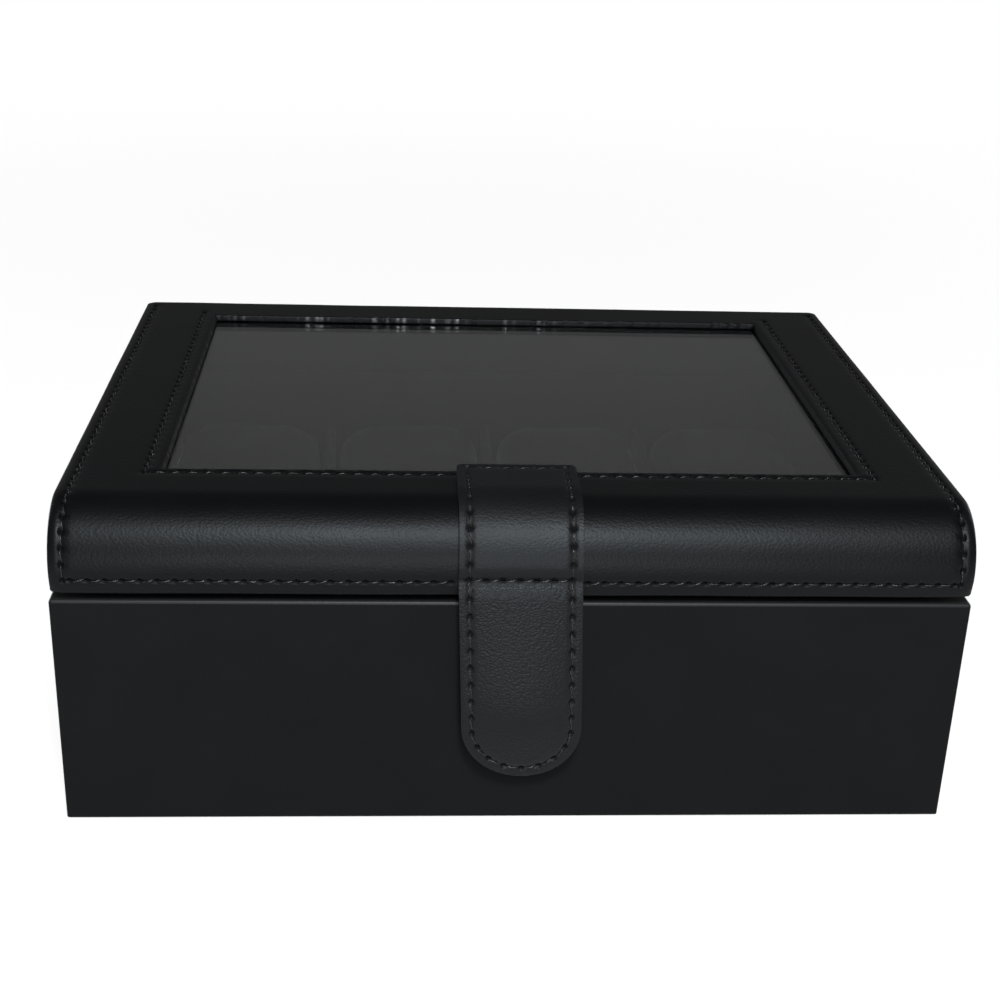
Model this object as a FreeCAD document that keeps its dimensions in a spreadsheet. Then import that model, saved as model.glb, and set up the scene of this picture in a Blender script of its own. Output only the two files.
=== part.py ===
import FreeCAD, Part
import os
import Sketcher

# A leather-covered watch box: a board carcass lined with velvet card and split into compartments by an
# egg-crate of dividers, a hinged lid with a rolled front edge and a glass window, and a strap whose free
# tab is held by magnets. Millimetres, +Z up, -Y is the front. The origin is the middle of the base's
# footprint, on the face that the box stands on.

COLUMNS = 4
ROWS = 2
LARGEST_SHARE = 0.9  # the most of a wall's thickness that a rounded or bevelled edge may take
TINY = 1e-6  # lengths below this count as nothing

SIZES = {
    # Base carcass, outside sizes over the leather.
    "base_width": 230.0,
    "base_depth": 182.0,
    "base_height": 63.0,
    "skin": 1.2,
    "board": 8.0,
    "floor_board": 4.0,
    "bottom_sheet": 0.4,
    "bottom_sheet_inset": 2.0,
    "corner_round": 1.2,
    "rim_round": 1.0,
    # Velvet-covered card inside the base. It stands above the leather rim and carries the lid.
    "wall_lining": 2.5,
    "floor_lining": 1.5,
    "collar_rise": 1.6,
    # Egg-crate dividers.
    "divider_thick": 2.4,
    "divider_height": 40.0,
    "divider_slot_play": 0.1,
    "divider_end_play": 0.2,
    # Watch pillows.
    "pillow_side_gap": 1.2,
    "pillow_end_gap": 3.0,
    "pillow_seat_gap": 0.3,
    "pillow_height": 46.0,
    "pillow_shoulder": 14.0,
    "pillow_draw_in": 4.5,
    # Lid. Its height is the lip below the seam, the lip above it and the roll.
    "seam_inset": 4.1,
    "seam_to_roll": 1.9,
    "roll_radius": 15.8,
    "lid_front_overhang": 1.2,
    "lid_side_inset": 0.7,
    "roll_shoulder": 2.0,
    "rim_facing": 1.2,
    "lid_lining": 2.0,
    "ceiling_card": 2.0,
    "lid_edge_bevel": 0.7,
    # Window.
    "window_width": 179.0,
    "window_front_border": 30.7,
    "window_back_border": 16.0,
    "window_recess": 2.0,
    "window_trim": 1.0,
    "glass_thick": 2.5,
    "glass_rest": 5.0,
    "glass_play": 0.3,
    # Strap and its free tab.
    "strap_width": 30.6,
    "strap_offset": 0.3,
    "strap_thick": 2.2,
    "strap_reach": 29.6,
    "tab_layer": 1.1,
    "tab_length": 53.9,
    "tab_play": 0.3,
    "magnet_radius": 6.0,
    "tab_magnet_thick": 0.8,
    "base_magnet_thick": 2.0,
    "magnet_drop": 30.0,
    # Hinges.
    "hinge_spacing": 120.0,
    "hinge_width": 26.0,
    "leaf_thick": 1.0,
    "leaf_height": 13.0,
    "barrel_radius": 2.0,
    "pin_radius": 1.0,
    "pin_running_play": 0.05,
    "pin_fixed_play": 0.02,
    "middle_knuckle": 10.0,
    "knuckle_gap": 0.3,
    "stop_lug": 4.5,
    "stop_angle": 101.0,
    "screw_spacing": 15.0,
    "screw_radius": 1.0,
    "screw_head_radius": 2.0,
    "screw_tip_cover": 2.2,
    "screw_play": 0.05,
}

doc = FreeCAD.newDocument("watch_box")
sheet = doc.addObject("Spreadsheet::Sheet", "sizes")
for row, (alias, number) in enumerate(SIZES.items(), start=1):
    sheet.set(f"A{row}", alias)
    sheet.set(f"B{row}", str(number))
    sheet.setAlias(f"B{row}", alias)
doc.recompute()


class Size:
    """A length written as an expression on the sheet, so that sums of sizes stay bound to its cells."""

    def __init__(self, text):
        self.text = text

    def __add__(self, other):
        return Size(f"({self.text} + {words(other)})")

    def __radd__(self, other):
        return Size(f"({words(other)} + {self.text})")

    def __sub__(self, other):
        return Size(f"({self.text} - {words(other)})")

    def __rsub__(self, other):
        return Size(f"({words(other)} - {self.text})")

    def __mul__(self, factor):
        return Size(f"({self.text} * {words(factor)})")

    def __truediv__(self, factor):
        return Size(f"({self.text} / {words(factor)})")

    def __neg__(self):
        return Size(f"(0 - {self.text})")

    def now(self):
        """The length in millimetres, with the cells as they are."""
        return float(sheet.evalExpression(self.text))


class SheetCells:
    """Each cell of the sheet as a Size, by its alias."""

    def __getattr__(self, alias):
        return Size(f"sizes.{alias}")


def words(length):
    return length.text if isinstance(length, Size) else repr(length)


def millimetres(length):
    return length.now() if isinstance(length, Size) else float(length)


def within_wall(wanted, wall):
    """The size of a rounded or bevelled edge, kept within its wall."""
    return Size(f"min({wanted.text}; {(wall * LARGEST_SHARE).text})")


s = SheetCells()
pieces = []


def keep(piece, name):
    """Makes an object one of the box's pieces, under the name of its file."""
    piece.Label = name
    pieces.append(piece)
    return piece


# Making pieces from blocks, rods and booleans

TURN_Z_TO = {
    "x": FreeCAD.Rotation(FreeCAD.Vector(0, 1, 0), 90),
    "y": FreeCAD.Rotation(FreeCAD.Vector(1, 0, 0), -90),
}


def put(piece, x, y, z):
    """Binds an object's place to the sheet."""
    for axis, length in (("x", x), ("y", y), ("z", z)):
        piece.setExpression(f"Placement.Base.{axis}", words(length))
    return piece


def block(name, x, y, z):
    """A rectangular solid between two planes on each axis."""
    solid = doc.addObject("Part::Box", name)
    for side, (low, high) in (("Length", x), ("Width", y), ("Height", z)):
        solid.setExpression(side, words(high - low))
    return put(solid, x[0], y[0], z[0])


def rod(name, radius, length, start, along):
    """A round solid that runs from a start point along x or y."""
    solid = doc.addObject("Part::Cylinder", name)
    solid.Placement = FreeCAD.Placement(FreeCAD.Vector(), TURN_Z_TO[along])
    solid.setExpression("Radius", words(radius))
    solid.setExpression("Height", words(length))
    return put(solid, *start)


def cone(name, first_radius, last_radius, length, start):
    """A tapered round solid that runs from a start point along y."""
    solid = doc.addObject("Part::Cone", name)
    solid.Placement = FreeCAD.Placement(FreeCAD.Vector(), TURN_Z_TO["y"])
    solid.setExpression("Radius1", words(first_radius))
    solid.setExpression("Radius2", words(last_radius))
    solid.setExpression("Height", words(length))
    return put(solid, *start)


def fuse(name, solids):
    joined = doc.addObject("Part::MultiFuse", name)
    joined.Shapes = solids
    return joined


def cut(name, base, tools):
    left = doc.addObject("Part::Cut", name)
    left.Base = base
    left.Tool = tools[0] if len(tools) == 1 else fuse(f"{name}_tools", tools)
    return left


# Making pieces from sketches


def origin_plane(body, role):
    return next(plane for plane in body.Origin.OriginFeatures if plane.Role == role)


def new_sketch(body, name, role, lift=0):
    """A sketch on one of the body's own planes, lifted off it along the plane's normal."""
    sketch = body.newObject("Sketcher::SketchObject", name)
    sketch.AttachmentSupport = (origin_plane(body, role), [""])
    sketch.MapMode = "FlatFace"
    sketch.setExpression("AttachmentOffset.Base.z", words(lift))
    return sketch


def sign(number):
    return (number > TINY) - (number < -TINY)


def flat_point(point):
    """A point of a sketch, in millimetres."""
    return FreeCAD.Vector(*(millimetres(length) for length in point), 0)


def bind_point(sketch, item, end, u, v):
    """Ties a point of the sketch to its two distances from the origin. A distance of None is left free."""
    for kind, length in (("DistanceX", u), ("DistanceY", v)):
        if length is not None:
            rule = Sketcher.Constraint(kind, -1, 1, item, end, millimetres(length))
            index = sketch.addConstraint(rule)
            sketch.setExpression(f"Constraints[{index}]", words(length))


def draw_loop(sketch, corners):
    """A closed outline with square corners. A corner with a third value is rounded to that radius."""
    spots = [tuple(millimetres(length) for length in corner[:2]) for corner in corners]
    stops = []
    for index, corner in enumerate(corners):
        u, v = corner[:2]
        here, before, after = spots[index], spots[index - 1], spots[(index + 1) % len(spots)]
        came = [sign(here[axis] - before[axis]) for axis in (0, 1)]
        goes = [sign(after[axis] - here[axis]) for axis in (0, 1)]
        if len(corner) == 2:
            stops.append({"first": (u, v), "last": (u, v)})
            continue
        radius = corner[2]
        first = (u - radius * came[0], v - radius * came[1])
        last = (u + radius * goes[0], v + radius * goes[1])
        centre = (first[0] + radius * goes[0], first[1] + radius * goes[1])
        turns_left = came[0] * goes[1] - came[1] * goes[0] > 0
        stops.append({"first": first, "last": last, "centre": centre, "turns_left": turns_left})
    ends = []
    for index, stop in enumerate(stops):
        if "centre" in stop:
            ends.append(draw_round(sketch, stop))
        following = stops[(index + 1) % len(stops)]
        begin, finish = flat_point(stop["last"]), flat_point(following["first"])
        if begin.distanceToPoint(finish) > TINY:
            line = sketch.addGeometry(Part.LineSegment(begin, finish), False)
            bind_point(sketch, line, 1, *stop["last"])
            ends.append((line, 1, 2))
    for index, (item, _, finish_end) in enumerate(ends):
        following, begin_end, _ = ends[(index + 1) % len(ends)]
        sketch.addConstraint(Sketcher.Constraint("Coincident", item, finish_end, following, begin_end))


def draw_round(sketch, stop):
    """A quarter circle for a rounded corner. Gives its item and which ends begin and finish it."""
    centre, first, last = (flat_point(stop[key]) for key in ("centre", "first", "last"))
    circle = Part.Circle(centre, FreeCAD.Vector(0, 0, 1), centre.distanceToPoint(first))
    begin, finish = (first, last) if stop["turns_left"] else (last, first)
    arc = Part.ArcOfCircle(circle, circle.parameter(begin), circle.parameter(finish))
    item = sketch.addGeometry(arc, False)
    begin_end, finish_end = (1, 2) if stop["turns_left"] else (2, 1)
    bind_point(sketch, item, begin_end, *stop["first"])
    bind_point(sketch, item, 3, stop["centre"][0], None)
    return item, begin_end, finish_end


def rectangle(u, v, radius=None):
    """The corners of a rectangle between two lengths on each axis, in turn."""
    corners = [(u[0], v[0]), (u[1], v[0]), (u[1], v[1]), (u[0], v[1])]
    return corners if radius is None else [(*corner, radius) for corner in corners]


def padded_body(name, role, corners, length, lift=0, both_ways=False):
    """A body made by padding one closed outline."""
    body = doc.addObject("PartDesign::Body", name)
    sketch = new_sketch(body, f"{name}_sketch", role, lift)
    draw_loop(sketch, corners)
    pad = body.newObject("PartDesign::Pad", f"{name}_pad")
    pad.Profile = sketch
    pad.Midplane = both_ways
    pad.setExpression("Length", words(length))
    doc.recompute()
    return body


def pocket(body, name, role, corners, length, lift=0):
    """Cuts a loop out of a body, from a plane upwards."""
    sketch = new_sketch(body, f"{name}_sketch", role, lift)
    draw_loop(sketch, corners)
    before = body.Shape.Volume
    feature = body.newObject("PartDesign::Pocket", name)
    feature.Profile = sketch
    feature.Reversed = True
    feature.setExpression("Length", words(length))
    doc.recompute()
    assert body.Shape.Volume < before - TINY, f"{name} cut nothing"
    return feature


def dress_edges(body, name, kind, size, wanted):
    """Rounds or bevels the edges of a body for which wanted(edge) is true. The kind is Radius or Size."""
    last = body.Tip
    chosen = [f"Edge{i}" for i, edge in enumerate(last.Shape.Edges, start=1) if wanted(edge)]
    assert chosen, f"{name} found no edge"
    feature = body.newObject("PartDesign::Fillet" if kind == "Radius" else "PartDesign::Chamfer", name)
    feature.Base = (last, chosen)
    feature.setExpression(kind, words(size))
    doc.recompute()
    return feature


# Planes that pieces share

half_width = s.base_width / 2
half_depth = s.base_depth / 2
front, back = -half_depth, half_depth
board_x = half_width - s.skin
board_y = half_depth - s.skin
lining_x = board_x - s.board
lining_y = board_y - s.board
inner_x = lining_x - s.wall_lining
inner_y = lining_y - s.wall_lining
floor_top = s.bottom_sheet + s.floor_board
seat_top = floor_top + s.floor_lining
board_top = s.base_height - s.skin
lid_bottom = s.base_height + s.collar_rise
seam_z = lid_bottom + s.seam_inset
lid_top = seam_z + s.seam_to_roll + s.roll_radius
lid_half = half_width - s.lid_side_inset
lid_front = front - s.lid_front_overhang
under_skin_x = lid_half - s.skin
under_skin_top = lid_top - s.skin
rail_bottom = lid_bottom + s.rim_facing
glass_top = lid_top - s.window_recess
rail_top = glass_top - s.glass_thick
rail_front = lid_front + s.skin
rail_x = under_skin_x - s.board
rail_back_y = back - s.skin - s.board
rail_front_y = lid_front + s.lid_front_overhang + s.skin + s.board
ceiling_bottom = rail_top - s.ceiling_card
window_x = s.window_width / 2
window_y = (lid_front + s.window_front_border, back - s.window_back_border)


def both(half):
    """The two planes at a half width each side of the middle."""
    return (-half, half)


# Base carcass: five boards, glued butt to butt


def base_boards():
    wall_z = (s.bottom_sheet, board_top)
    start = (s.strap_offset, -board_y, magnet_z)
    recess = rod("magnet_recess", s.magnet_radius, s.base_magnet_thick, start, "y")
    front_blank = block("front_blank", both(board_x), (-board_y, -lining_y), wall_z)
    keep(cut("front_panel", front_blank, [recess]), "base_front_panel")
    keep(block("back_panel", both(board_x), (lining_y, board_y), wall_z), "base_back_panel")
    side_y = both(lining_y)
    keep(block("left_panel", (-board_x, -lining_x), side_y, wall_z), "base_left_panel")
    keep(block("right_panel", (lining_x, board_x), side_y, wall_z), "base_right_panel")
    floor = block("floor_panel", both(lining_x), both(lining_y), (s.bottom_sheet, floor_top))
    keep(floor, "base_floor_panel")


# Leather round the four walls, turned over the rim, and the sheet glued under the floor


def base_covers():
    outline = rectangle(both(half_width), both(half_depth), s.corner_round)
    wrap = padded_body("leather_wrap", "XY_Plane", outline, s.base_height - s.bottom_sheet, s.bottom_sheet)
    boards = rectangle(both(board_x), both(board_y))
    pocket(wrap, "room_for_boards", "XY_Plane", boards, board_top - s.bottom_sheet, s.bottom_sheet)
    mouth = rectangle(both(lining_x), both(lining_y))
    pocket(wrap, "mouth", "XY_Plane", mouth, s.base_height)
    rim = s.base_height.now()
    mouth_x, mouth_y = lining_x.now() + TINY, lining_y.now() + TINY

    def on_outer_rim(edge):
        middle = edge.BoundBox.Center
        outside = abs(middle.x) > mouth_x or abs(middle.y) > mouth_y
        return abs(edge.BoundBox.ZMin - rim) < TINY and edge.BoundBox.ZLength < TINY and outside

    dress_edges(wrap, "soft_rim", "Radius", within_wall(s.rim_round, s.skin), on_outer_rim)
    keep(wrap, "base_leather_wrap")
    sheet_x = half_width - s.bottom_sheet_inset
    sheet_y = half_depth - s.bottom_sheet_inset
    keep(block("under_sheet", both(sheet_x), both(sheet_y), (0, s.bottom_sheet)), "base_bottom_cover")


# Velvet-covered card: four walls that stand above the rim as a collar, and the floor between them


def base_lining():
    wall_z = (floor_top, lid_bottom)
    keep(block("front_lining", both(lining_x), (-lining_y, -inner_y), wall_z), "lining_front")
    keep(block("back_lining", both(lining_x), (inner_y, lining_y), wall_z), "lining_back")
    keep(block("left_lining", (-lining_x, -inner_x), both(inner_y), wall_z), "lining_left")
    keep(block("right_lining", (inner_x, lining_x), both(inner_y), wall_z), "lining_right")
    keep(block("seat_lining", both(inner_x), both(inner_y), (floor_top, seat_top)), "floor_lining")


# Egg-crate: one long divider slotted from above, and cross dividers slotted from below

column_room = (inner_x * 2 - s.divider_thick * (COLUMNS - 1)) / COLUMNS
row_room = (inner_y * 2 - s.divider_thick * (ROWS - 1)) / ROWS
column_pitch = column_room + s.divider_thick
row_pitch = row_room + s.divider_thick
divider_top = seat_top + s.divider_height
slot_half = s.divider_thick / 2 + s.divider_slot_play
slot_end = seat_top + s.divider_height / 2


def column_x(place):
    """The x of a place counted in columns from the middle of the box."""
    return column_pitch * place


def row_y(place):
    """The y of a place counted in rows from the middle of the box."""
    return row_pitch * place


def dividers():
    reach_x = inner_x - s.divider_end_play
    reach_y = inner_y - s.divider_end_play
    crossings = [column_x(index - COLUMNS / 2) for index in range(1, COLUMNS)]
    long_outline = [(-reach_x, seat_top), (reach_x, seat_top), (reach_x, divider_top)]
    for x in reversed(crossings):
        long_outline += [(x + slot_half, divider_top), (x + slot_half, slot_end)]
        long_outline += [(x - slot_half, slot_end), (x - slot_half, divider_top)]
    long_outline.append((-reach_x, divider_top))
    long_divider = padded_body("long_divider", "XZ_Plane", long_outline, s.divider_thick, both_ways=True)
    keep(long_divider, "divider_long")
    cross_outline = [(-reach_y, seat_top), (-slot_half, seat_top), (-slot_half, slot_end)]
    cross_outline += [(slot_half, slot_end), (slot_half, seat_top), (reach_y, seat_top)]
    cross_outline += [(reach_y, divider_top), (-reach_y, divider_top)]
    for index, x in enumerate(crossings, start=1):
        cross = padded_body(f"cross_{index}", "YZ_Plane", cross_outline, s.divider_thick, both_ways=True)
        cross.setExpression("Placement.Base.x", words(x))
        keep(cross, f"divider_cross_{index}")


# Watch pillows: foam loaves, flat underneath, crowned on top and drawn in towards both sides

PILLOW_STATIONS = (-1, -0.7, 0.7, 1)  # where sections lie, in half widths of a pillow


def pillow_section(draw_in):
    """The round-shouldered section of a pillow, taken in at its ends and top where it is drawn in."""
    half = row_room / 2 - s.pillow_end_gap - draw_in
    top = s.pillow_height - draw_in
    return [
        (-half, 0),
        (half, 0),
        (half, top, s.pillow_shoulder),
        (-half, top, s.pillow_shoulder),
    ]


def pillow(index, x, y):
    body = doc.addObject("PartDesign::Body", f"pillow_{index}")
    reach = column_room / 2 - s.pillow_side_gap
    sections = []
    for place, station in enumerate(PILLOW_STATIONS):
        sketch = new_sketch(body, f"pillow_{index}_section_{place}", "YZ_Plane", reach * station)
        draw_loop(sketch, pillow_section(s.pillow_draw_in * int(abs(station))))
        sections.append(sketch)
    doc.recompute()
    loaf = body.newObject("PartDesign::AdditiveLoft", f"pillow_{index}_loaf")
    loaf.Profile = sections[0]
    loaf.Sections = sections[1:]
    loaf.Ruled = True
    doc.recompute()
    put(body, x, y, seat_top + s.pillow_seat_gap)
    keep(body, f"watch_pillow_{index}")


def pillows():
    index = 0
    for row in range(ROWS):
        for column in range(COLUMNS):
            index += 1
            x = column_x(column - (COLUMNS - 1) / 2)
            pillow(index, x, row_y(row - (ROWS - 1) / 2))


# Lid carcass: a rolled front rail, three plain rails and a rebated top board round the window

roll_back = lid_front + s.roll_radius + s.roll_shoulder


def lid_rails():
    front_outline = [
        (rail_front, rail_bottom),
        (rail_front_y, rail_bottom),
        (rail_front_y, rail_top),
        (roll_back, rail_top),
        (roll_back, under_skin_top),
        (rail_front, under_skin_top, s.roll_radius - s.skin),
    ]
    rail = padded_body("front_rail", "YZ_Plane", front_outline, under_skin_x * 2, both_ways=True)
    keep(rail, "lid_front_rail")
    rail_z = (rail_bottom, rail_top)
    side_y = (rail_front_y, rail_back_y)
    keep(block("left_rail", (-under_skin_x, -rail_x), side_y, rail_z), "lid_left_rail")
    keep(block("right_rail", (rail_x, under_skin_x), side_y, rail_z), "lid_right_rail")
    keep(block("back_rail", both(under_skin_x), (rail_back_y, back - s.skin), rail_z), "lid_back_rail")


def lid_top_board():
    board_outline = rectangle(both(under_skin_x), (roll_back, back - s.skin))
    thick = under_skin_top - rail_top
    body = padded_body("top_board", "XY_Plane", board_outline, thick, rail_top)
    pocket(body, "window_hole", "XY_Plane", window_loop(s.window_trim), thick, rail_top)
    rebate = window_loop(s.window_trim + s.glass_rest)
    pocket(body, "glass_rebate", "XY_Plane", rebate, s.glass_thick, rail_top)
    keep(body, "lid_top_board")


def window_loop(grow):
    """The window's rectangle, let out by a length on every side."""
    return rectangle((-window_x - grow, window_x + grow), (window_y[0] - grow, window_y[1] + grow))


def frame_of_loops(name, outer, inner, bottom, thick):
    """A flat frame between two rectangles."""
    body = padded_body(name, "XY_Plane", outer, thick, bottom)
    pocket(body, f"{name}_hole", "XY_Plane", inner, thick, bottom)
    return body


# The window: glass in the rebate, leather turned in round the hole, and a velvet card under both


def window():
    grow = s.window_trim + s.glass_rest - s.glass_play
    pane = padded_body("pane", "XY_Plane", window_loop(grow), s.glass_thick, rail_top)
    keep(pane, "window_glass")
    lip = under_skin_top - glass_top
    trim = frame_of_loops("turned_edge", window_loop(s.window_trim), window_loop(0), glass_top, lip)
    keep(trim, "window_edge_trim")
    ceiling_outline = rectangle(both(rail_x), (rail_front_y, rail_back_y))
    hole = window_loop(s.window_trim)
    ceiling = frame_of_loops("ceiling", ceiling_outline, hole, ceiling_bottom, s.ceiling_card)
    keep(ceiling, "lid_ceiling_frame")


# Lid lining: four velvet cards that meet the base's collar, and a facing under the rails


def lid_lining():
    wall_z = (lid_bottom, ceiling_bottom)
    inner_front = rail_front_y + s.lid_lining
    inner_back = rail_back_y - s.lid_lining
    side_y = (inner_front, inner_back)
    card_x = rail_x - s.lid_lining
    keep(block("lid_card_front", both(rail_x), (rail_front_y, inner_front), wall_z), "lid_lining_front")
    keep(block("lid_card_back", both(rail_x), (inner_back, rail_back_y), wall_z), "lid_lining_back")
    keep(block("lid_card_left", (-rail_x, -card_x), side_y, wall_z), "lid_lining_left")
    keep(block("lid_card_right", (card_x, rail_x), side_y, wall_z), "lid_lining_right")
    outer = rectangle(both(under_skin_x), (rail_front, back - s.skin))
    inner = rectangle(both(rail_x), (rail_front_y, rail_back_y))
    facing = frame_of_loops("facing", outer, inner, lid_bottom, s.rim_facing)
    keep(facing, "lid_rim_facing")


# Lid leather: one hide over the top and down the roll, two sewn sides and a back


def lid_leather():
    hide = [
        (back, lid_top),
        (lid_front, lid_top, s.roll_radius),
        (lid_front, lid_bottom),
        (rail_front, lid_bottom),
        (rail_front, under_skin_top, s.roll_radius - s.skin),
        (back, under_skin_top),
    ]
    top = padded_body("top_hide", "YZ_Plane", hide, under_skin_x * 2, both_ways=True)
    pocket(top, "hide_window", "XY_Plane", window_loop(0), s.skin, under_skin_top)
    keep(top, "lid_leather_top")
    side = [
        (lid_front, lid_bottom),
        (back, lid_bottom),
        (back, lid_top),
        (lid_front, lid_top, s.roll_radius),
    ]
    for name, place, outward in (("left", -lid_half, -1), ("right", under_skin_x, 1)):
        body = padded_body(f"{name}_hide", "YZ_Plane", side, s.skin)
        outer_face = s.skin.now() if outward > 0 else 0
        floor_z = lid_bottom.now()

        def on_outer_seam(edge):
            bounds = edge.BoundBox
            at_face = abs(bounds.XMin - outer_face) < TINY and bounds.XLength < TINY
            return at_face and bounds.ZMax > floor_z + TINY

        bevel = within_wall(s.lid_edge_bevel, s.skin)
        dress_edges(body, f"{name}_seam_bevel", "Size", bevel, on_outer_seam)
        body.setExpression("Placement.Base.x", words(place))
        keep(body, f"lid_leather_{name}")
    back_z = (lid_bottom, under_skin_top)
    keep(block("back_hide", both(under_skin_x), (back - s.skin, back), back_z), "lid_leather_back")


# Strap: the upper part is sewn to the lid, and the tab below the seam swings free

tab_back = lid_front - s.tab_play
tab_middle = tab_back - s.tab_layer
tab_front = tab_middle - s.tab_layer
tab_top = seam_z + s.tab_layer
tab_end = seam_z - s.tab_length
magnet_z = seam_z - s.magnet_drop
strap_x = (s.strap_offset - s.strap_width / 2, s.strap_offset + s.strap_width / 2)


def strap():
    end_y = lid_front + s.strap_reach
    outer = lid_front - s.strap_thick
    low_z = tab_top + s.tab_play
    band = [
        (end_y, lid_top + s.strap_thick),
        (outer, lid_top + s.strap_thick, s.roll_radius + s.strap_thick),
        (outer, low_z),
        (lid_front, low_z),
        (lid_front, lid_top, s.roll_radius),
        (end_y, lid_top),
    ]
    body = padded_body("upper_strap", "YZ_Plane", band, s.strap_width, both_ways=True)
    body.setExpression("Placement.Base.x", words(s.strap_offset))
    keep(body, "strap_upper")


def tab_layer(name, near):
    """One leather layer of the tab: a tongue with a round lower end, behind a plane near the front."""
    tongue = [
        (strap_x[0], tab_end, s.strap_width / 2),
        (strap_x[1], tab_end, s.strap_width / 2),
        (strap_x[1], tab_top),
        (strap_x[0], tab_top),
    ]
    return padded_body(name, "XZ_Plane", tongue, s.tab_layer, -near)


def tab():
    top = tab_top.now()
    for name, near, outer_face in (("outer", tab_middle, tab_front), ("inner", tab_back, tab_back)):
        body = tab_layer(f"{name}_tongue", near)
        face = outer_face.now()

        def on_top_edge(edge):
            bounds = edge.BoundBox
            level = abs(bounds.ZMin - top) < TINY and bounds.ZLength < TINY
            return level and abs(bounds.YMin - face) < TINY and bounds.YLength < TINY

        dress_edges(body, f"{name}_tongue_top", "Radius", s.tab_layer * LARGEST_SHARE, on_top_edge)
        if name == "outer":
            keep(body, "tab_outer_leather")
            continue
        start = (s.strap_offset, tab_middle, magnet_z)
        pit = rod("tab_magnet_pit", s.magnet_radius, s.tab_magnet_thick, start, "y")
        keep(cut("inner_tongue_cut", body, [pit]), "tab_inner_leather")
        disc = rod("tab_magnet_disc", s.magnet_radius, s.tab_magnet_thick, start, "y")
        keep(disc, "tab_magnet")
    start = (s.strap_offset, -board_y, magnet_z)
    keep(rod("base_magnet_disc", s.magnet_radius, s.base_magnet_thick, start, "y"), "base_magnet")


# Hinges: a butt hinge with a stop lug near each end of the back

axis_y = back + s.barrel_radius
axis_z = s.base_height + s.collar_rise / 2
leaf_y = (back, back + s.leaf_thick)
clear = s.barrel_radius + s.knuckle_gap
outer_knuckle = (s.hinge_width - s.middle_knuckle) / 2 - s.knuckle_gap


def knuckle(name, x, length):
    """A section of the barrel round the hinge's axis."""
    return rod(name, s.barrel_radius, length, (x, axis_y, axis_z), "x")


def screw_places(centre, z):
    """The points on the leaf's inner face where the hinge's screws go in."""
    return [(centre + s.screw_spacing * side, back, z) for side in (-0.5, 0.5)]


def screw_holes(name, centre, z):
    radius = s.screw_radius + s.screw_play
    head = s.screw_head_radius + s.screw_play
    return [
        cone(f"{name}_hole_{index}", radius, head, s.leaf_thick, place)
        for index, place in enumerate(screw_places(centre, z))
    ]


def screws(name, centre, z):
    made = []
    for index, place in enumerate(screw_places(centre, z)):
        head = cone(f"{name}_head_{index}", s.screw_radius, s.screw_head_radius, s.leaf_thick, place)
        x, y, height = place
        depth = s.skin + s.board - s.screw_tip_cover
        start = (x, y - depth, height)
        shank = rod(f"{name}_shank_{index}", s.screw_radius, depth, start, "y")
        made.append(fuse(f"{name}_screw_{index}", [head, shank]))
    return made


base_screw_z = axis_z - (clear + s.leaf_height) / 2
lid_screw_z = axis_z + (clear + s.leaf_height) / 2


def base_leaf(side, centre):
    left, right = centre - s.hinge_width / 2, centre + s.hinge_width / 2
    solids = [block(f"{side}_base_plate", (left, right), leaf_y, (axis_z - s.leaf_height, axis_z - clear))]
    for place, start in (("first", left), ("last", right - outer_knuckle)):
        solids.append(knuckle(f"{side}_{place}_barrel", start, outer_knuckle))
        tang_x = (start, start + outer_knuckle)
        solids.append(block(f"{side}_{place}_tang", tang_x, leaf_y, (axis_z - clear, axis_z)))
    pin_start = (left, axis_y, axis_z)
    bore = rod(f"{side}_base_bore", s.pin_radius + s.pin_fixed_play, s.hinge_width, pin_start, "x")
    holes = screw_holes(f"{side}_base", centre, base_screw_z)
    leaf = cut(f"{side}_base_leaf", fuse(f"{side}_base_solid", solids), [bore, *holes])
    keep(leaf, f"hinge_{side}_base_leaf")
    pin = rod(f"{side}_pin", s.pin_radius, s.hinge_width, pin_start, "x")
    keep(pin, f"hinge_{side}_pin")


def stop_lug(side, start):
    """A lug on the middle knuckle that meets the base leaf's face when the lid is fully open."""
    turn = "(sizes.stop_angle - 90) * 1 deg"
    thick = s.barrel_radius - s.leaf_thick
    lug = doc.addObject("Part::Box", f"{side}_lug")
    lug.Placement.Rotation = FreeCAD.Rotation(FreeCAD.Vector(1, 0, 0), 1)
    lug.setExpression("Placement.Rotation.Angle", turn)
    lug.setExpression("Length", words(s.middle_knuckle))
    lug.setExpression("Width", words(s.stop_lug))
    lug.setExpression("Height", words(thick))
    down_y = Size(f"({thick.text} * sin({turn}))")
    down_z = Size(f"({thick.text} * cos({turn}))")
    return put(lug, start, axis_y + down_y, axis_z - down_z)


def lid_leaf(side, centre):
    left, right = centre - s.hinge_width / 2, centre + s.hinge_width / 2
    start = centre - s.middle_knuckle / 2
    tang_x = (start, start + s.middle_knuckle)
    solids = [
        block(f"{side}_lid_plate", (left, right), leaf_y, (axis_z + clear, axis_z + s.leaf_height)),
        block(f"{side}_lid_tang", tang_x, leaf_y, (axis_z, axis_z + clear)),
        knuckle(f"{side}_lid_barrel", start, s.middle_knuckle),
        stop_lug(side, start),
    ]
    bore_start = (start, axis_y, axis_z)
    bore = rod(f"{side}_lid_bore", s.pin_radius + s.pin_running_play, s.middle_knuckle, bore_start, "x")
    holes = screw_holes(f"{side}_lid", centre, lid_screw_z)
    leaf = cut(f"{side}_lid_leaf", fuse(f"{side}_lid_solid", solids), [bore, *holes])
    keep(leaf, f"hinge_{side}_lid_leaf")


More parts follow.
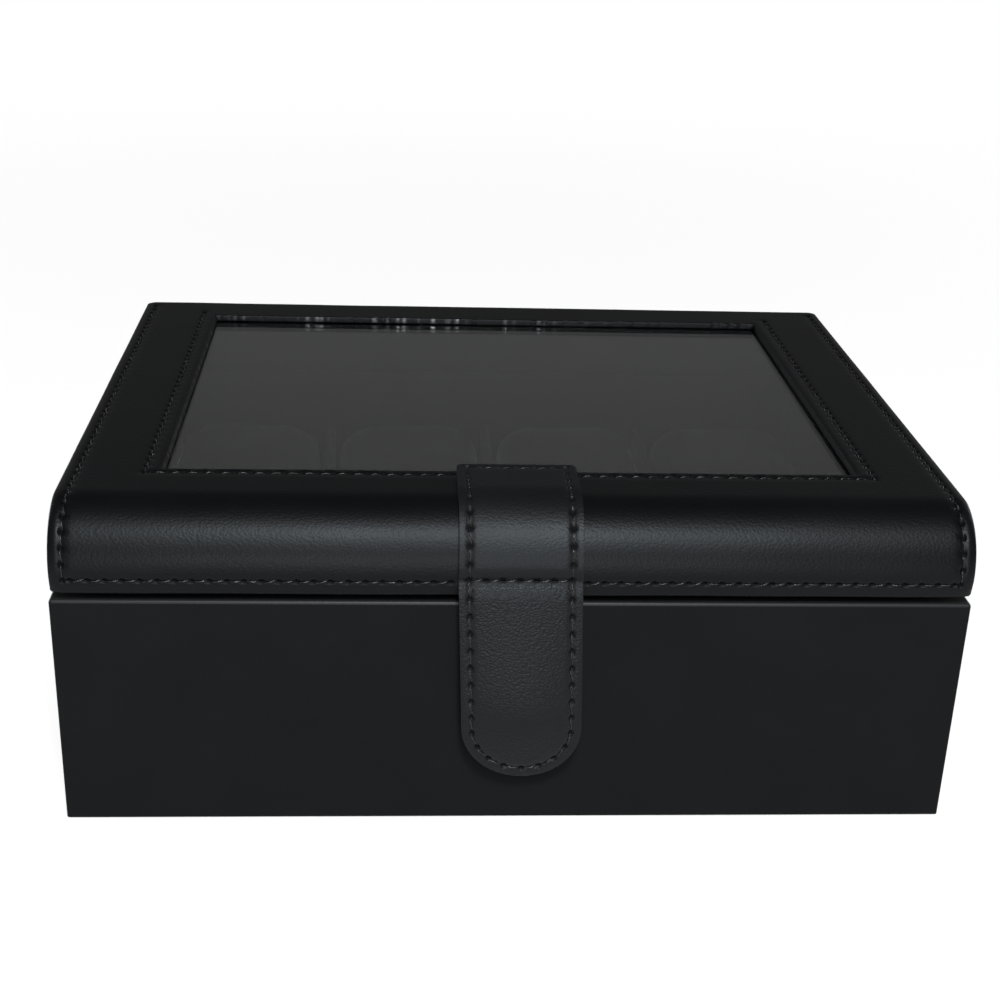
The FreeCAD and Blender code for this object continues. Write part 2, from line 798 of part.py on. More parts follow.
def hinges():
    base_screws, lid_screws = [], []
    for side, centre in (("left", -(s.hinge_spacing / 2)), ("right", s.hinge_spacing / 2)):
        base_leaf(side, centre)
        lid_leaf(side, centre)
        base_screws += screws(f"{side}_base", centre, base_screw_z)
        lid_screws += screws(f"{side}_lid", centre, lid_screw_z)
    for name, group in (("base_hinge_screws", base_screws), ("lid_hinge_screws", lid_screws)):
        compound = doc.addObject("Part::Compound", f"{name}_group")
        compound.Links = group
        keep(compound, name)


base_boards()
base_covers()
base_lining()
dividers()
pillows()
lid_rails()
lid_top_board()
window()
lid_lining()
lid_leather()
strap()
tab()
hinges()
doc.recompute()

for thing in doc.Objects:
    bad = [word for word in thing.State if word in ("Invalid", "Error")]
    if bad:
        raise RuntimeError(f"{thing.Label} is {bad}")
for piece in pieces:
    if piece.Shape.isNull() or not piece.Shape.isValid() or not piece.Shape.Solids:
        raise RuntimeError(f"{piece.Label} has no valid solid")

os.makedirs("parts", exist_ok=True)
for piece in pieces:
    piece.Shape.exportStep(f"parts/{piece.Label}.step")
print(f"{len(pieces)} pieces written")
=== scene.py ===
import math

import bmesh
import bpy
from mathutils import Matrix, Vector, noise


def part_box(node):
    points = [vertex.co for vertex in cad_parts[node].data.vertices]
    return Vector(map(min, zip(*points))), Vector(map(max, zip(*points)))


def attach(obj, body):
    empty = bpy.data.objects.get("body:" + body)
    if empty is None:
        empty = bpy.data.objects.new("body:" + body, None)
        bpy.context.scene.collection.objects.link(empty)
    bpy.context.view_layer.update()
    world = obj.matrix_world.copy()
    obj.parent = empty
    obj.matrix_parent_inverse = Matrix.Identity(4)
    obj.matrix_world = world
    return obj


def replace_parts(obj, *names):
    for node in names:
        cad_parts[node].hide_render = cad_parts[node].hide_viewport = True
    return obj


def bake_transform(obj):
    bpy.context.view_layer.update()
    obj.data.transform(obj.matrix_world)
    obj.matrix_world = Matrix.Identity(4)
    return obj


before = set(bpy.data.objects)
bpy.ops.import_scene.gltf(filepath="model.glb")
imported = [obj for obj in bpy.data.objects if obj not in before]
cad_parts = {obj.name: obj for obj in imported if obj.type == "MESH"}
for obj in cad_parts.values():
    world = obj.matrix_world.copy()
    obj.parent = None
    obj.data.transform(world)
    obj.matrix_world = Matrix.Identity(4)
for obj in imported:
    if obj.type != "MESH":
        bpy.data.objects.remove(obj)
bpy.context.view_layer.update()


# Base carcass: five boards of raw brown fibre board, butted and glued.
# Leather, velvet and cloth cover all of it.
MM = 0.001
BOARD_DARK = (0.25, 0.16, 0.09)
BOARD_PALE = (0.46, 0.34, 0.22)
BOARD_SHINE = 0.2
BOARD_DULL = 0.75
BOARD_DULL_VARIES = 0.2
BOARD_RELIEF = 0.15 * MM
FIBRES_PER_METRE = 900.0
FLECKS_PER_METRE = 420.0
FLECK_SHARE = 0.4


class Shade:
    """A socket in a material's node tree. Arithmetic on it adds Math nodes."""

    def __init__(self, tree, socket=None):
        self.tree = tree
        self.socket = socket

    def node(self, kind, settings, inputs, output=0):
        """Add a node: its settings first, a ramp's stops among them, then its inputs' values or links."""
        made = self.tree.nodes.new(kind)
        for name, value in settings.items():
            if name == "stops":
                elements = made.color_ramp.elements
                while len(elements) < len(value):
                    elements.new(1.0)
                for element, (position, grey) in zip(elements, value):
                    element.position = position
                    element.color = (grey, grey, grey, 1)
            else:
                setattr(made, name, value)
        for name, value in inputs.items():
            if isinstance(value, Shade):
                self.tree.links.new(value.socket, made.inputs[name])
            else:
                made.inputs[name].default_value = value
        return Shade(self.tree, made.outputs[output])

    def noise(self, scale, detail, output=0):
        inputs = {"Vector": self, "Scale": scale, "Detail": detail}
        return self.node("ShaderNodeTexNoise", {}, inputs, output)

    def math(self, operation, first, second):
        return self.node("ShaderNodeMath", {"operation": operation}, {0: first, 1: second})

    def __add__(self, other):
        return self.math("ADD", self, other)

    def __mul__(self, other):
        return self.math("MULTIPLY", self, other)

    def __sub__(self, other):
        return self.math("SUBTRACT", self, other)

    def __rsub__(self, other):
        return self.math("SUBTRACT", other, self)

    __radd__ = __add__
    __rmul__ = __mul__


def new_finish(name, **constants):
    """A material whose shader has these constant values, and the place on the piece as a socket."""
    material = bpy.data.materials.new(name)
    material.use_nodes = True
    tree = material.node_tree
    shader = tree.nodes["Principled BSDF"]
    for socket, value in constants.items():
        shader.inputs[socket.replace("_", " ")].default_value = value
    place = Shade(tree).node("ShaderNodeTexCoord", {}, {}, "Object")
    return material, shader, place


def set_finish(shader, place, colour, roughness, height, depth):
    """Link a finish's colour and roughness, and its relief, which is depth metres deep."""
    bump = place.node("ShaderNodeBump", {}, {"Strength": 1.0, "Distance": depth, "Height": height}, "Normal")
    for socket, value in (("Base Color", colour), ("Roughness", roughness), ("Normal", bump)):
        place.tree.links.new(value.socket, shader.inputs[socket])


def blend_colours(share, first, second):
    """A colour between two, by a socket from 0 to 1."""
    return share.node(
        "ShaderNodeMix",
        {"data_type": "RGBA"},
        {"Factor": share, 6: (*first, 1), 7: (*second, 1)},
        2,
    )


def fibre_board(name, dark, pale):
    """Pressed fibre board between two tones."""
    material, shader, place = new_finish(name, Specular_IOR_Level=BOARD_SHINE)
    fibres = place.noise(FIBRES_PER_METRE, 6.0)
    flecks = place.node("ShaderNodeTexVoronoi", {}, {"Vector": place, "Scale": FLECKS_PER_METRE}, 0)
    colour = blend_colours(fibres, dark, pale)
    dull = BOARD_DULL + BOARD_DULL_VARIES * fibres
    set_finish(shader, place, colour, dull, fibres + FLECK_SHARE * flecks, BOARD_RELIEF)
    return material


def dress(material, *nodes):
    """Give CAD nodes that keep their own shape a material."""
    for name in nodes:
        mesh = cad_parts[name].data
        mesh.materials.clear()
        mesh.materials.append(material)


board_finish = fibre_board("raw_fibre_board", BOARD_DARK, BOARD_PALE)
dress(board_finish, *[f"base_{side}_panel" for side in ("front", "back", "left", "right", "floor")])


# Base leather: one strip of black leather pulled round the four boards and folded over their rim.
# Its fold at the rim is round and catches the light as a thin line.
POLISH = 0.2
POLISH_COAT = 0.34
COAT_ROUGHNESS = 0.48
SHINE_TINT = (0.86, 0.94, 1, 1)
SWAY_SCALE = 0.25
SWAY = (0.8, 0.8, 0.8)
PEBBLE_SMOOTHNESS = 0.6
PORES_PER_METRE = 5200.0
PORE_SHARE = 0.15
PATCHES_PER_METRE = 45.0
PATCH_PALER = 1.35
PATCH_DULL = 0.08
PIT_DULL = 0.4
STRETCH_DULL = 0.06
STRETCH_FLATTENS = 0.5


def grained_leather(name, colour, roughness, shine, grain, relief):
    """Black leather with a pebbled grain of this size on each axis and this depth.

    The piece's own attributes say where shade is painted into the colour, in the needle holes and down the
    window's wall, where the skin is also duller there, where it is polished, and where it is stretched, which
    flattens its grain.
    """
    material, shader, place = new_finish(
        name, Specular_IOR_Level=shine, Specular_Tint=SHINE_TINT, Coat_Roughness=COAT_ROUGHNESS
    )
    cells = place.node("ShaderNodeMapping", {}, {"Vector": place, "Scale": [1 / size for size in grain]}, 0)
    sway = cells.noise(SWAY_SCALE, 2.0, "Color")
    swayed = place.node(
        "ShaderNodeVectorMath", {"operation": "MULTIPLY_ADD"}, {0: sway, 1: SWAY, 2: cells}
    )
    pebbles = place.node(
        "ShaderNodeTexVoronoi",
        {"feature": "SMOOTH_F1"},
        {"Vector": swayed, "Scale": 1.0, "Smoothness": PEBBLE_SMOOTHNESS},
        "Distance",
    )
    pores = place.noise(PORES_PER_METRE, 2.0)
    patches = place.noise(PATCHES_PER_METRE, 3.0)
    painted_shade, polish, stretch = [
        place.node("ShaderNodeAttribute", {"attribute_name": layer}, {}, "Fac")
        for layer in ("needle_hole", "polish", "stretched")
    ]
    pale = tuple(PATCH_PALER * part for part in colour)
    whole_skin = blend_colours(patches, colour, pale)
    # Painted shade: the colour goes towards black in the needle holes and down the window's wall.
    shade = blend_colours(painted_shade, (1, 1, 1), (0, 0, 0))
    tone = place.node("ShaderNodeVectorMath", {"operation": "MULTIPLY"}, {0: whole_skin, 1: shade})
    even = roughness - PATCH_DULL / 2
    dull = even + PATCH_DULL * patches + PIT_DULL * painted_shade + STRETCH_DULL * stretch - POLISH * polish
    skin = (1 - STRETCH_FLATTENS * stretch) * (PORE_SHARE * pores - pebbles)
    set_finish(shader, place, tone, dull, skin, relief)
    place.tree.links.new((POLISH_COAT * polish).socket, shader.inputs["Coat Weight"])
    return material


def add_piece(shape, name, material, body, smooth_angle=40):
    """Make an object of a shape, with its material, on its CAD body."""
    mesh = bpy.data.meshes.new(name)
    shape.to_mesh(mesh)
    shape.free()
    mesh.materials.append(material)
    mesh.shade_smooth()
    mesh.set_sharp_from_angle(angle=math.radians(smooth_angle))
    piece = bpy.data.objects.new(name, mesh)
    bpy.context.scene.collection.objects.link(piece)
    if body:
        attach(piece, body)
    return piece


def bevel_edges(shape, edges, radius, segments):
    """Round some edges of a shape over."""
    bmesh.ops.bevel(
        shape,
        geom=edges,
        offset=radius,
        offset_type="OFFSET",
        affect="EDGES",
        segments=segments,
        profile=0.5,
        material=-1,
        clamp_overlap=True,
    )


base_leather = grained_leather(
    "base_leather",
    colour=(0.0068, 0.0071, 0.0079),
    roughness=0.5,
    shine=0.022,
    grain=(1.2 * MM, 1.2 * MM, 0.9 * MM),
    relief=0.03 * MM,
)
wrap_low, wrap_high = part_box("base_leather_wrap")
QUARTER = math.pi / 2
FACES_UP = 0.5
WRAP_THICKNESS = 1.2 * MM
FOLD_RADIUS = 0.95 * MM
FOLD_SEGMENTS = 6
FOLD_POLISHED = 0.95
rim_width = wrap_high.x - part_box("lining_right")[1].x

wrap = bmesh.new()
bmesh.ops.create_cube(
    wrap,
    size=1,
    matrix=Matrix.LocRotScale((wrap_low + wrap_high) / 2, None, wrap_high - wrap_low),
)
bmesh.ops.delete(wrap, geom=[f for f in wrap.faces if f.normal.z < -FACES_UP], context="FACES_ONLY")
mouth = [f for f in wrap.faces if f.normal.z > FACES_UP]
bmesh.ops.inset_region(wrap, faces=mouth, thickness=rim_width, use_even_offset=True)
bmesh.ops.delete(wrap, geom=mouth, context="FACES")
folds = [e for e in wrap.edges if e.calc_face_angle(0) > QUARTER / 2]
bevel_edges(wrap, folds, FOLD_RADIUS, FOLD_SEGMENTS)
polish = wrap.verts.layers.float.new("polish")
for v in wrap.verts:
    v[polish] = v.co.z > wrap_high.z - FOLD_POLISHED * FOLD_RADIUS
wrap_piece = add_piece(wrap, "base_wrap", base_leather, "base")
wrap_piece.modifiers.new("thickness", "SOLIDIFY").thickness = WRAP_THICKNESS
wrap_piece.modifiers.new("flat_walls", "WEIGHTED_NORMAL")
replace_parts(wrap_piece, "base_leather_wrap")


# Bottom cover: a thin black flocked sheet glued under the base, over the leather's turned-in edges.
# The box stands on it.
NAP_SHINE = 0.05
NAP_SHEEN_ROUGHNESS = 0.35
NAP_PALER = 2.2
NAP_DULL = 0.85
NAP_DULL_VARIES = 0.1
BRUSHED_PER_METRE = 60.0


def nap(name, colour, sheen, fibre, depth):
    """Short pile cloth: a dark body, a soft sheen and brushed patches."""
    material, shader, place = new_finish(
        name, Specular_IOR_Level=NAP_SHINE, Sheen_Weight=sheen, Sheen_Roughness=NAP_SHEEN_ROUGHNESS
    )
    pile = place.noise(1 / fibre, 4.0)
    brushed = place.noise(BRUSHED_PER_METRE, 3.0)
    pale = tuple(NAP_PALER * part for part in colour)
    tone = blend_colours(0.5 * pile + 0.5 * brushed, colour, pale)
    set_finish(shader, place, tone, NAP_DULL + NAP_DULL_VARIES * pile, pile, depth)
    return material


flock = nap("flocked_sheet", colour=(0.008, 0.008, 0.008), sheen=0.05, fibre=0.5 * MM, depth=0.1 * MM)
dress(flock, "base_bottom_cover")


# Velvet linings: five cards covered in black velvet, glued inside the base.
# The wall cards stand 2 mm above the rim and guide the lid.
MERGE = 0.001 * MM
FLAT_TURN = math.radians(2)
EDGE_TURN = math.radians(40)


def softened(node, radius, segments, material, body, front=None):
    """A copy of a CAD node with its edges rounded over, and cut back to a front if one is given."""
    shape = bmesh.new()
    shape.from_mesh(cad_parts[node].data)
    bmesh.ops.remove_doubles(shape, verts=shape.verts, dist=MERGE)
    bmesh.ops.dissolve_limit(shape, angle_limit=FLAT_TURN, verts=shape.verts, edges=shape.edges)
    if front is not None:
        for v in shape.verts:
            v.co.y = max(v.co.y, front)
    sharp = [e for e in shape.edges if e.calc_face_angle(0) > EDGE_TURN]
    bevel_edges(shape, sharp, radius, segments)
    piece = add_piece(shape, node + "_finished", material, body)
    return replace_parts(piece, node)


VELVET_BLACK = (0.007, 0.007, 0.0076)
LINING_EDGE = 0.7 * MM
FLOOR_LINING_EDGE = 0.4 * MM
velvet = nap("black_velvet", VELVET_BLACK, sheen=0.045, fibre=0.25 * MM, depth=0.12 * MM)
for side in ("front", "back", "left", "right"):
    softened(f"lining_{side}", LINING_EDGE, 3, velvet, "base")
softened("floor_lining", FLOOR_LINING_EDGE, 2, velvet, "base")


# Dividers: one long and three cross cards in velvet, slotted half through each other.
# They drop in loose and part the eight places.
DIVIDER_EDGE = 0.6 * MM
for divider in ("divider_long", "divider_cross_1", "divider_cross_2", "divider_cross_3"):
    softened(divider, DIVIDER_EDGE, 3, velvet, "base")


# Magnets: two nickel-plated discs, one in the front board and one between the tab's layers.
# Leather hides both.
DRAWN_SCALE = (30, 900, 900)
LINE_SCALE = 8.0
LINE_DARKER = 0.85
LINE_DULL = 0.12
LINE_DEPTH = 0.01 * MM


def plated(name, colour, roughness):
    """Satin plated steel with fine drawn lines."""
    material, shader, place = new_finish(name, Metallic=1.0)
    drawn = place.node("ShaderNodeMapping", {}, {"Vector": place, "Scale": DRAWN_SCALE}, 0)
    lines = drawn.noise(LINE_SCALE, 3.0)
    tone = blend_colours(lines, tuple(LINE_DARKER * part for part in colour), colour)
    set_finish(shader, place, tone, roughness + LINE_DULL * lines, lines, LINE_DEPTH)
    return material


dress(plated("magnet_plate", colour=(0.6, 0.6, 0.6), roughness=0.25), "base_magnet", "tab_magnet")


# Lid carcass: four rails and a rebated top board of fibre board, glued and inked black, because the glass
# shows the board's edge. The front rail is rounded off to carry the rolled edge.
INK_DARK = (0.008, 0.008, 0.008)
INK_PALE = (0.02, 0.02, 0.02)
inked_board = fibre_board("inked_fibre_board", INK_DARK, INK_PALE)
dress(inked_board, "lid_top_board", *[f"lid_{side}_rail" for side in ("front", "left", "right", "back")])


# Lid leather: one padded sheet from the lip under the lid's front edge, up over the roll and along the top.
# It is sewn down at the front, along both ends and beside the window, and turns down to the glass.
lid_leather = grained_leather(
    "lid_leather",
    # The same leather as the base's, given a much darker colour: painted shade that keeps the lid's flat top
    # dark.
    colour=(0.0018, 0.0019, 0.0022),
    roughness=0.42,
    shine=0.128,
    grain=(0.75 * MM, 0.62 * MM, 0.62 * MM),
    relief=0.038 * MM,
)
LID_SKIN = 0.9 * MM
LIP_TURN_IN = 0.3 * MM
LIP_RADIUS = 1.55 * MM
LIP_LEAN = math.radians(14)
LIP_FACE = 1.5 * MM
LIP_BEND = 1.0 * MM
ROLL_RADIUS = 15.8 * MM
BACK_RADIUS = 1.2 * MM
END_TURN_DOWN = 0.2 * MM
END_RADIUS = 0.5 * MM
END_SLOPE = math.radians(20)
END_SLOPE_RADIUS = 8 * MM
STITCH_PITCH = 4.2 * MM
FRONT_ROW_HEIGHT = 4.1 * MM
END_ROW_INSET = 3.4 * MM
END_ROW_STOP = 4 * MM
WINDOW_ROW_FRONT = 2.8 * MM
WINDOW_ROW_OFFSET = 4.5 * MM
VALLEY_DEPTH = 0.28 * MM
VALLEY_WIDTH = 0.9 * MM
HOLE_DEPTH = 0.75 * MM
HOLE_LENGTH = 1.1 * MM
HOLE_WIDTH = 0.75 * MM
HOLE_CRISPNESS = 4
ROW_BAND = 1.4 * MM
SKIN_SMOOTH = 60

lid_low, lid_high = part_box("lid_leather_top")
end_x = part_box("lid_leather_right")[1].x
glass_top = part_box("window_glass")[1].z
trim_low, trim_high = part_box("window_edge_trim")
TRIM_WIDTH = 1.0 * MM
window_low = Vector((trim_low.x + TRIM_WIDTH, trim_low.y + TRIM_WIDTH))
window_high = Vector((trim_high.x - TRIM_WIDTH, trim_high.y - TRIM_WIDTH))
roll_y = lid_low.y + ROLL_RADIUS
roll_z = lid_high.z - ROLL_RADIUS


def walk(start, heading, legs):
    """A path of legs, each a length and the angle that it turns through, as a function of distance.

    The function gives the point at a distance along the path and the direction to the path's left.
    """
    def at(distance):
        point = Vector(start)
        facing = heading
        for length, turn in legs:
            step = min(distance, length)
            bend = turn * step / length
            if turn:
                swing = Vector((
                    math.sin(facing + bend) - math.sin(facing),
                    math.cos(facing) - math.cos(facing + bend),
                ))
                point += swing * length / turn
            else:
                point += step * Vector((math.cos(facing), math.sin(facing)))
            facing += bend
            distance -= step
            if distance <= 0:
                break
        return point, Vector((-math.sin(facing), math.cos(facing)))
    return at


def stations(stops):
    """Distances from the first stop to the last; each stop is a distance and the step up to it."""
    found = [stops[0][0]]
    for (start, _), (end, step) in zip(stops, stops[1:]):
        count = max(1, round((end - start) / step))
        found += [start + (end - start) * (i + 1) / count for i in range(count)]
    return found


def grid_of(columns, rows):
    """A grid whose vertices hold their places across and along it, with the two layers that hold them."""
    shape = bmesh.new()
    bmesh.ops.create_grid(shape, x_segments=len(columns) - 1, y_segments=len(rows) - 1, size=0.5)
    low = min(v.co.x for v in shape.verts)
    span = max(v.co.x for v in shape.verts) - low
    across = shape.verts.layers.float.new("across")
    along = shape.verts.layers.float.new("along")
    for v in shape.verts:
        v[across] = columns[round((v.co.x - low) / span * (len(columns) - 1))]
        v[along] = rows[round((v.co.y - low) / span * (len(rows) - 1))]
    return shape, across, along


def bell(distance, width):
    """1 at no distance, falling to 0 beyond a width."""
    return math.exp(-(distance / width) ** 2)


def needle_hole(off, along, pitch):
    """1 in the diamond-shaped holes between each two stitches of a row, falling to 0 round them. The leather
    sinks there, and the same mask is painted into its colour as shade.
    """
    gap = (along / pitch - round(along / pitch)) * pitch
    return math.exp(-(abs(off) / HOLE_WIDTH + abs(gap) / HOLE_LENGTH) ** HOLE_CRISPNESS)


def sewn(off, along, pitch):
    """How far leather sinks at a row of stitches: a valley, with a long hole between each two stitches."""
    return VALLEY_DEPTH * bell(off, VALLEY_WIDTH) + HOLE_DEPTH * needle_hole(off, along, pitch)


lip_legs = [
    (LIP_TURN_IN, 0),
    (LIP_RADIUS * (QUARTER - LIP_LEAN), LIP_LEAN - QUARTER),
    (LIP_FACE, 0),
    (LIP_BEND, -LIP_LEAN),
]
lip_length = sum(length for length, _ in lip_legs)
lip_turned = lip_legs[0][0] + lip_legs[1][0]
lip_reach, lip_rise = walk((0, 0), math.pi, lip_legs)(lip_length)[0]
front_rise = roll_z - lid_low.z - lip_rise
roll_arc = QUARTER * ROLL_RADIUS
top_run = lid_high.y - BACK_RADIUS - roll_y
back_arc = QUARTER * BACK_RADIUS
lid_path = walk((lid_low.y - lip_reach, lid_low.z), math.pi, lip_legs + [
    (front_rise, 0),
    (roll_arc, -QUARTER),
    (top_run, 0),
    (back_arc, -QUARTER),
])
top_at = lip_length + front_rise + roll_arc
path_end = top_at + top_run + back_arc
front_row = lip_length + FRONT_ROW_HEIGHT - lip_rise
end_row = end_x - END_ROW_INSET
end_row_stop = path_end - back_arc - END_ROW_STOP
end_arc = END_RADIUS * (QUARTER - END_SLOPE)
end_legs = [
    (END_TURN_DOWN, 0),
    (end_arc, END_SLOPE - QUARTER),
    (END_SLOPE_RADIUS * END_SLOPE, -END_SLOPE),
]
across_flat = sum(length for length, _ in end_legs)
end_reach, end_fall = walk((0, 0), QUARTER, end_legs)(across_flat)[0]
flat_across = 2 * (end_x - end_reach)
lid_across = walk((-end_x, -end_fall), QUARTER, end_legs + [(flat_across, 0)] + end_legs[::-1])
across_end = 2 * across_flat + flat_across


def on_top(y):
    """The distance along the lid's path of a place on the flat top."""
    return top_at + y - roll_y


def across(x):
    """The distance across the lid of a place between its ends."""
    return across_flat + x + end_x - end_reach


row_front = on_top(window_low.y - WINDOW_ROW_FRONT)
row_back = on_top(window_high.y + WINDOW_ROW_OFFSET)
row_side = window_high.x + WINDOW_ROW_OFFSET


def lid_rows(x, s):
    """The distance off and along each sewn row that passes a place on the lid."""
    passing = []
    if front_row - VALLEY_WIDTH < s < end_row_stop:
        passing.append((abs(x) - end_row, s - front_row))
    if abs(x) < end_row + VALLEY_WIDTH:
        passing.append((s - front_row, x))
    if abs(x) < row_side + VALLEY_WIDTH:
        passing.append((s - row_front, x))
    if row_front - VALLEY_WIDTH < s < row_back + VALLEY_WIDTH:
        passing.append((abs(x) - row_side, s - row_front))
    return passing


WAVE_LENGTH = 28 * MM
WAVE_HEIGHT = 0.12 * MM


def lid_skin(x, s, rise=0):
    """The point on the lid's leather and the direction out of it."""
    (y, z), (out_y, out_z) = lid_path(s)
    sink = max((sewn(off, along, STITCH_PITCH) for off, along in lid_rows(x, s)), default=0)
    if s < front_row:
        sink = max(sink, VALLEY_DEPTH * min(1, s / lip_turned))
    wave = WAVE_HEIGHT * noise.noise(Vector((x, s, 0)) / WAVE_LENGTH)
    lift = rise - sink + wave
    return Vector((x, y + lift * out_y, z + lift * out_z)), Vector((0, out_y, out_z))


WALL_RUN = 0.65 * MM
COARSE = 1.4 * MM
FINE = 0.4 * MM
FINE_CUTS = 2
hole_low = window_low - Vector((WALL_RUN, WALL_RUN))
hole_high = window_high + Vector((WALL_RUN, WALL_RUN))
columns = stations([
    (0, 0),
    (END_TURN_DOWN, END_TURN_DOWN),
    (END_TURN_DOWN + end_arc, FINE),
    (across_flat, COARSE / 2),
    (across(hole_low.x), COARSE),
    (across(hole_high.x), COARSE),
    (across_end - across_flat, COARSE),
    (across_end - END_TURN_DOWN - end_arc, COARSE / 2),
    (across_end - END_TURN_DOWN, FINE),
    (across_end, END_TURN_DOWN),
])
rows = stations([
    (0, 0),
    (LIP_TURN_IN, LIP_TURN_IN),
    (lip_length, FINE),
    (top_at, COARSE),
    (on_top(hole_low.y), COARSE),
    (on_top(hole_high.y), COARSE),
    (path_end - back_arc, COARSE),
    (path_end, FINE),
])
lid_shape, place_across, place_along = grid_of(columns, rows)


def lid_place(parts):
    """The middle of some vertices as a place on the lid: x, the distance along, and the fall of the ends."""
    (x, rise), _ = lid_across(sum(v[place_across] for v in parts) / len(parts))
    return x, sum(v[place_along] for v in parts) / len(parts), rise


fine_faces = []
for f in lid_shape.faces:
    x, s, _ = lid_place(f.verts)
    by_row = any(abs(off) < ROW_BAND for off, _ in lid_rows(x, s))
    by_far_edge = abs(s - on_top(hole_high.y)) < ROW_BAND and abs(x) < hole_high.x + ROW_BAND
    if by_row or by_far_edge:
        fine_faces.append(f)
fine_edges = list({e for f in fine_faces for e in f.edges})
bmesh.ops.subdivide_edges(lid_shape, edges=fine_edges, cuts=FINE_CUTS, use_grid_fill=True)
painted_shade = lid_shape.verts.layers.float.new("needle_hole")
polish = lid_shape.verts.layers.float.new("polish")
window_faces = []
for v in lid_shape.verts:
    x, s, rise = lid_place([v])
    v.co, _ = lid_skin(x, s, rise)
    # Painted shade: the leather's colour is darkened in the needle holes.
    v[painted_shade] = max((needle_hole(off, along, STITCH_PITCH) for off, along in lid_rows(x, s)), default=0)
for f in lid_shape.faces:
    x, s, _ = lid_place(f.verts)
    if hole_low.x < x < hole_high.x and on_top(hole_low.y) < s < on_top(hole_high.y):
        window_faces.append(f)
bmesh.ops.delete(lid_shape, geom=window_faces, context="FACES")

WALL_STEPS = 6
WALL_CLEAR = 0.2 * MM
WALL_RUN_POWER = 0.8
WALL_DROP_POWER = 1.25
PUCKER_LENGTH = 1.8 * MM
PUCKER_DEPTH = 0.4 * MM
GLAZE = 15
GLAZE_LENGTH = 1.6 * MM
GLAZE_LEVEL = 0.15
GLAZE_MIDDLE = -33 * MM
GLAZE_REACH = 42 * MM
WALL_PAINTED_SHADE = 0.6
NEAR = 0.01 * MM
wall_drop = lid_high.z - glass_top - WALL_CLEAR


def at_hole(v):
    """Which way a vertex on the window's edge has to move to go down the wall, as -1, 0 or 1 on X and Y."""
    return Vector((
        (abs(v.co.x - hole_low.x) < NEAR) - (abs(v.co.x - hole_high.x) < NEAR),
        (abs(v.co.y - hole_low.y) < NEAR) - (abs(v.co.y - hole_high.y) < NEAR),
        0,
    ))


edge_loop = [
    e for e in lid_shape.edges
    if e.is_boundary and e.verts[0].co.z > roll_z and all(at_hole(v).length for v in e.verts)
]
inward = {v: (at_hole(v), v.co.copy()) for e in edge_loop for v in e.verts}
for i in range(1, WALL_STEPS + 1):
    share = i / WALL_STEPS
    arch = math.sin(math.pi * share)
    grown = bmesh.ops.extrude_edge_only(lid_shape, edges=edge_loop)["geom"]
    edge_loop = [g for g in grown if isinstance(g, bmesh.types.BMEdge)]
    lowered = {}
    for v in [g for g in grown if isinstance(g, bmesh.types.BMVert)]:
        above = [e.other_vert(v) for e in v.link_edges if e.other_vert(v) in inward]
        toward, foot = inward[min(above, key=lambda other: (other.co - v.co).length)]
        pucker = PUCKER_DEPTH * arch * noise.noise(foot / PUCKER_LENGTH)
        run = WALL_RUN * share ** WALL_RUN_POWER + pucker
        v.co = foot + toward * run - Vector((0, 0, wall_drop * share ** WALL_DROP_POWER))
        spot = max(0, noise.noise(foot / GLAZE_LENGTH) - GLAZE_LEVEL)
        glaze = GLAZE * spot * bell(foot.x - GLAZE_MIDDLE, GLAZE_REACH) * arch ** 2
        v[polish] = glaze
        # Painted shade: the window's wall is darkened and dulled from its top edge down, except on the
        # polished spots.
        v[painted_shade] = WALL_PAINTED_SHADE * math.sqrt(share) * max(0, 1 - glaze)
        lowered[v] = toward, foot
    inward = lowered
lid_piece = add_piece(lid_shape, "lid_top_leather", lid_leather, "lid", SKIN_SMOOTH)
lid_piece.modifiers.new("thickness", "SOLIDIFY").thickness = LID_SKIN
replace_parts(lid_piece, "lid_leather_top", "window_edge_trim")


# Lid ends and back: leather glued flat on the two ends, under the sheet's turned-down edge, and on the back.
# The ends follow the lid's rolled section. A leather facing under the rails meets the sheet's lip.
END_INSET = 0.85 * MM
END_SUNK = 0.3 * MM
END_PANEL = 0.8 * MM
BACK_EDGE = 0.4 * MM
FACING_EDGE = 0.2 * MM
FACING_GAP = 0.05 * MM
end_stations = stations([
    (LIP_TURN_IN, 0),
    (lip_length, FINE),
    (lip_length + front_rise, front_rise),
    (top_at, COARSE),
    (path_end - back_arc, top_run),
])
for side, name in ((-1, "left"), (1, "right")):
    end_panel = bmesh.new()
    outline = []
    for s in end_stations:
        (y, z), (out_y, out_z) = lid_path(s)
        outline.append(end_panel.verts.new((0, y - END_INSET * out_y, z - END_INSET * out_z)))
    outline.append(end_panel.verts.new((0, outline[-1].co.y, lid_low.z + END_SUNK)))
    outline.append(end_panel.verts.new((0, outline[0].co.y, lid_low.z + END_SUNK)))
    face = end_panel.faces.new(outline)
    sheet = bmesh.ops.extrude_face_region(end_panel, geom=[face])["geom"]
    moved = [g for g in sheet if isinstance(g, bmesh.types.BMVert)]
    bmesh.ops.translate(end_panel, vec=(side * END_PANEL, 0, 0), verts=moved)
    bmesh.ops.translate(end_panel, vec=(side * (end_x - END_SUNK - END_PANEL), 0, 0), verts=end_panel.verts)
    bmesh.ops.recalc_face_normals(end_panel, faces=end_panel.faces)
    piece = add_piece(end_panel, f"lid_end_{name}", lid_leather, "lid")
    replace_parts(piece, f"lid_leather_{name}")
softened("lid_leather_back", BACK_EDGE, 3, lid_leather, "lid")
facing_front = lid_low.y - lip_reach + FACING_GAP
softened("lid_rim_facing", FACING_EDGE, 2, lid_leather, "lid", facing_front)


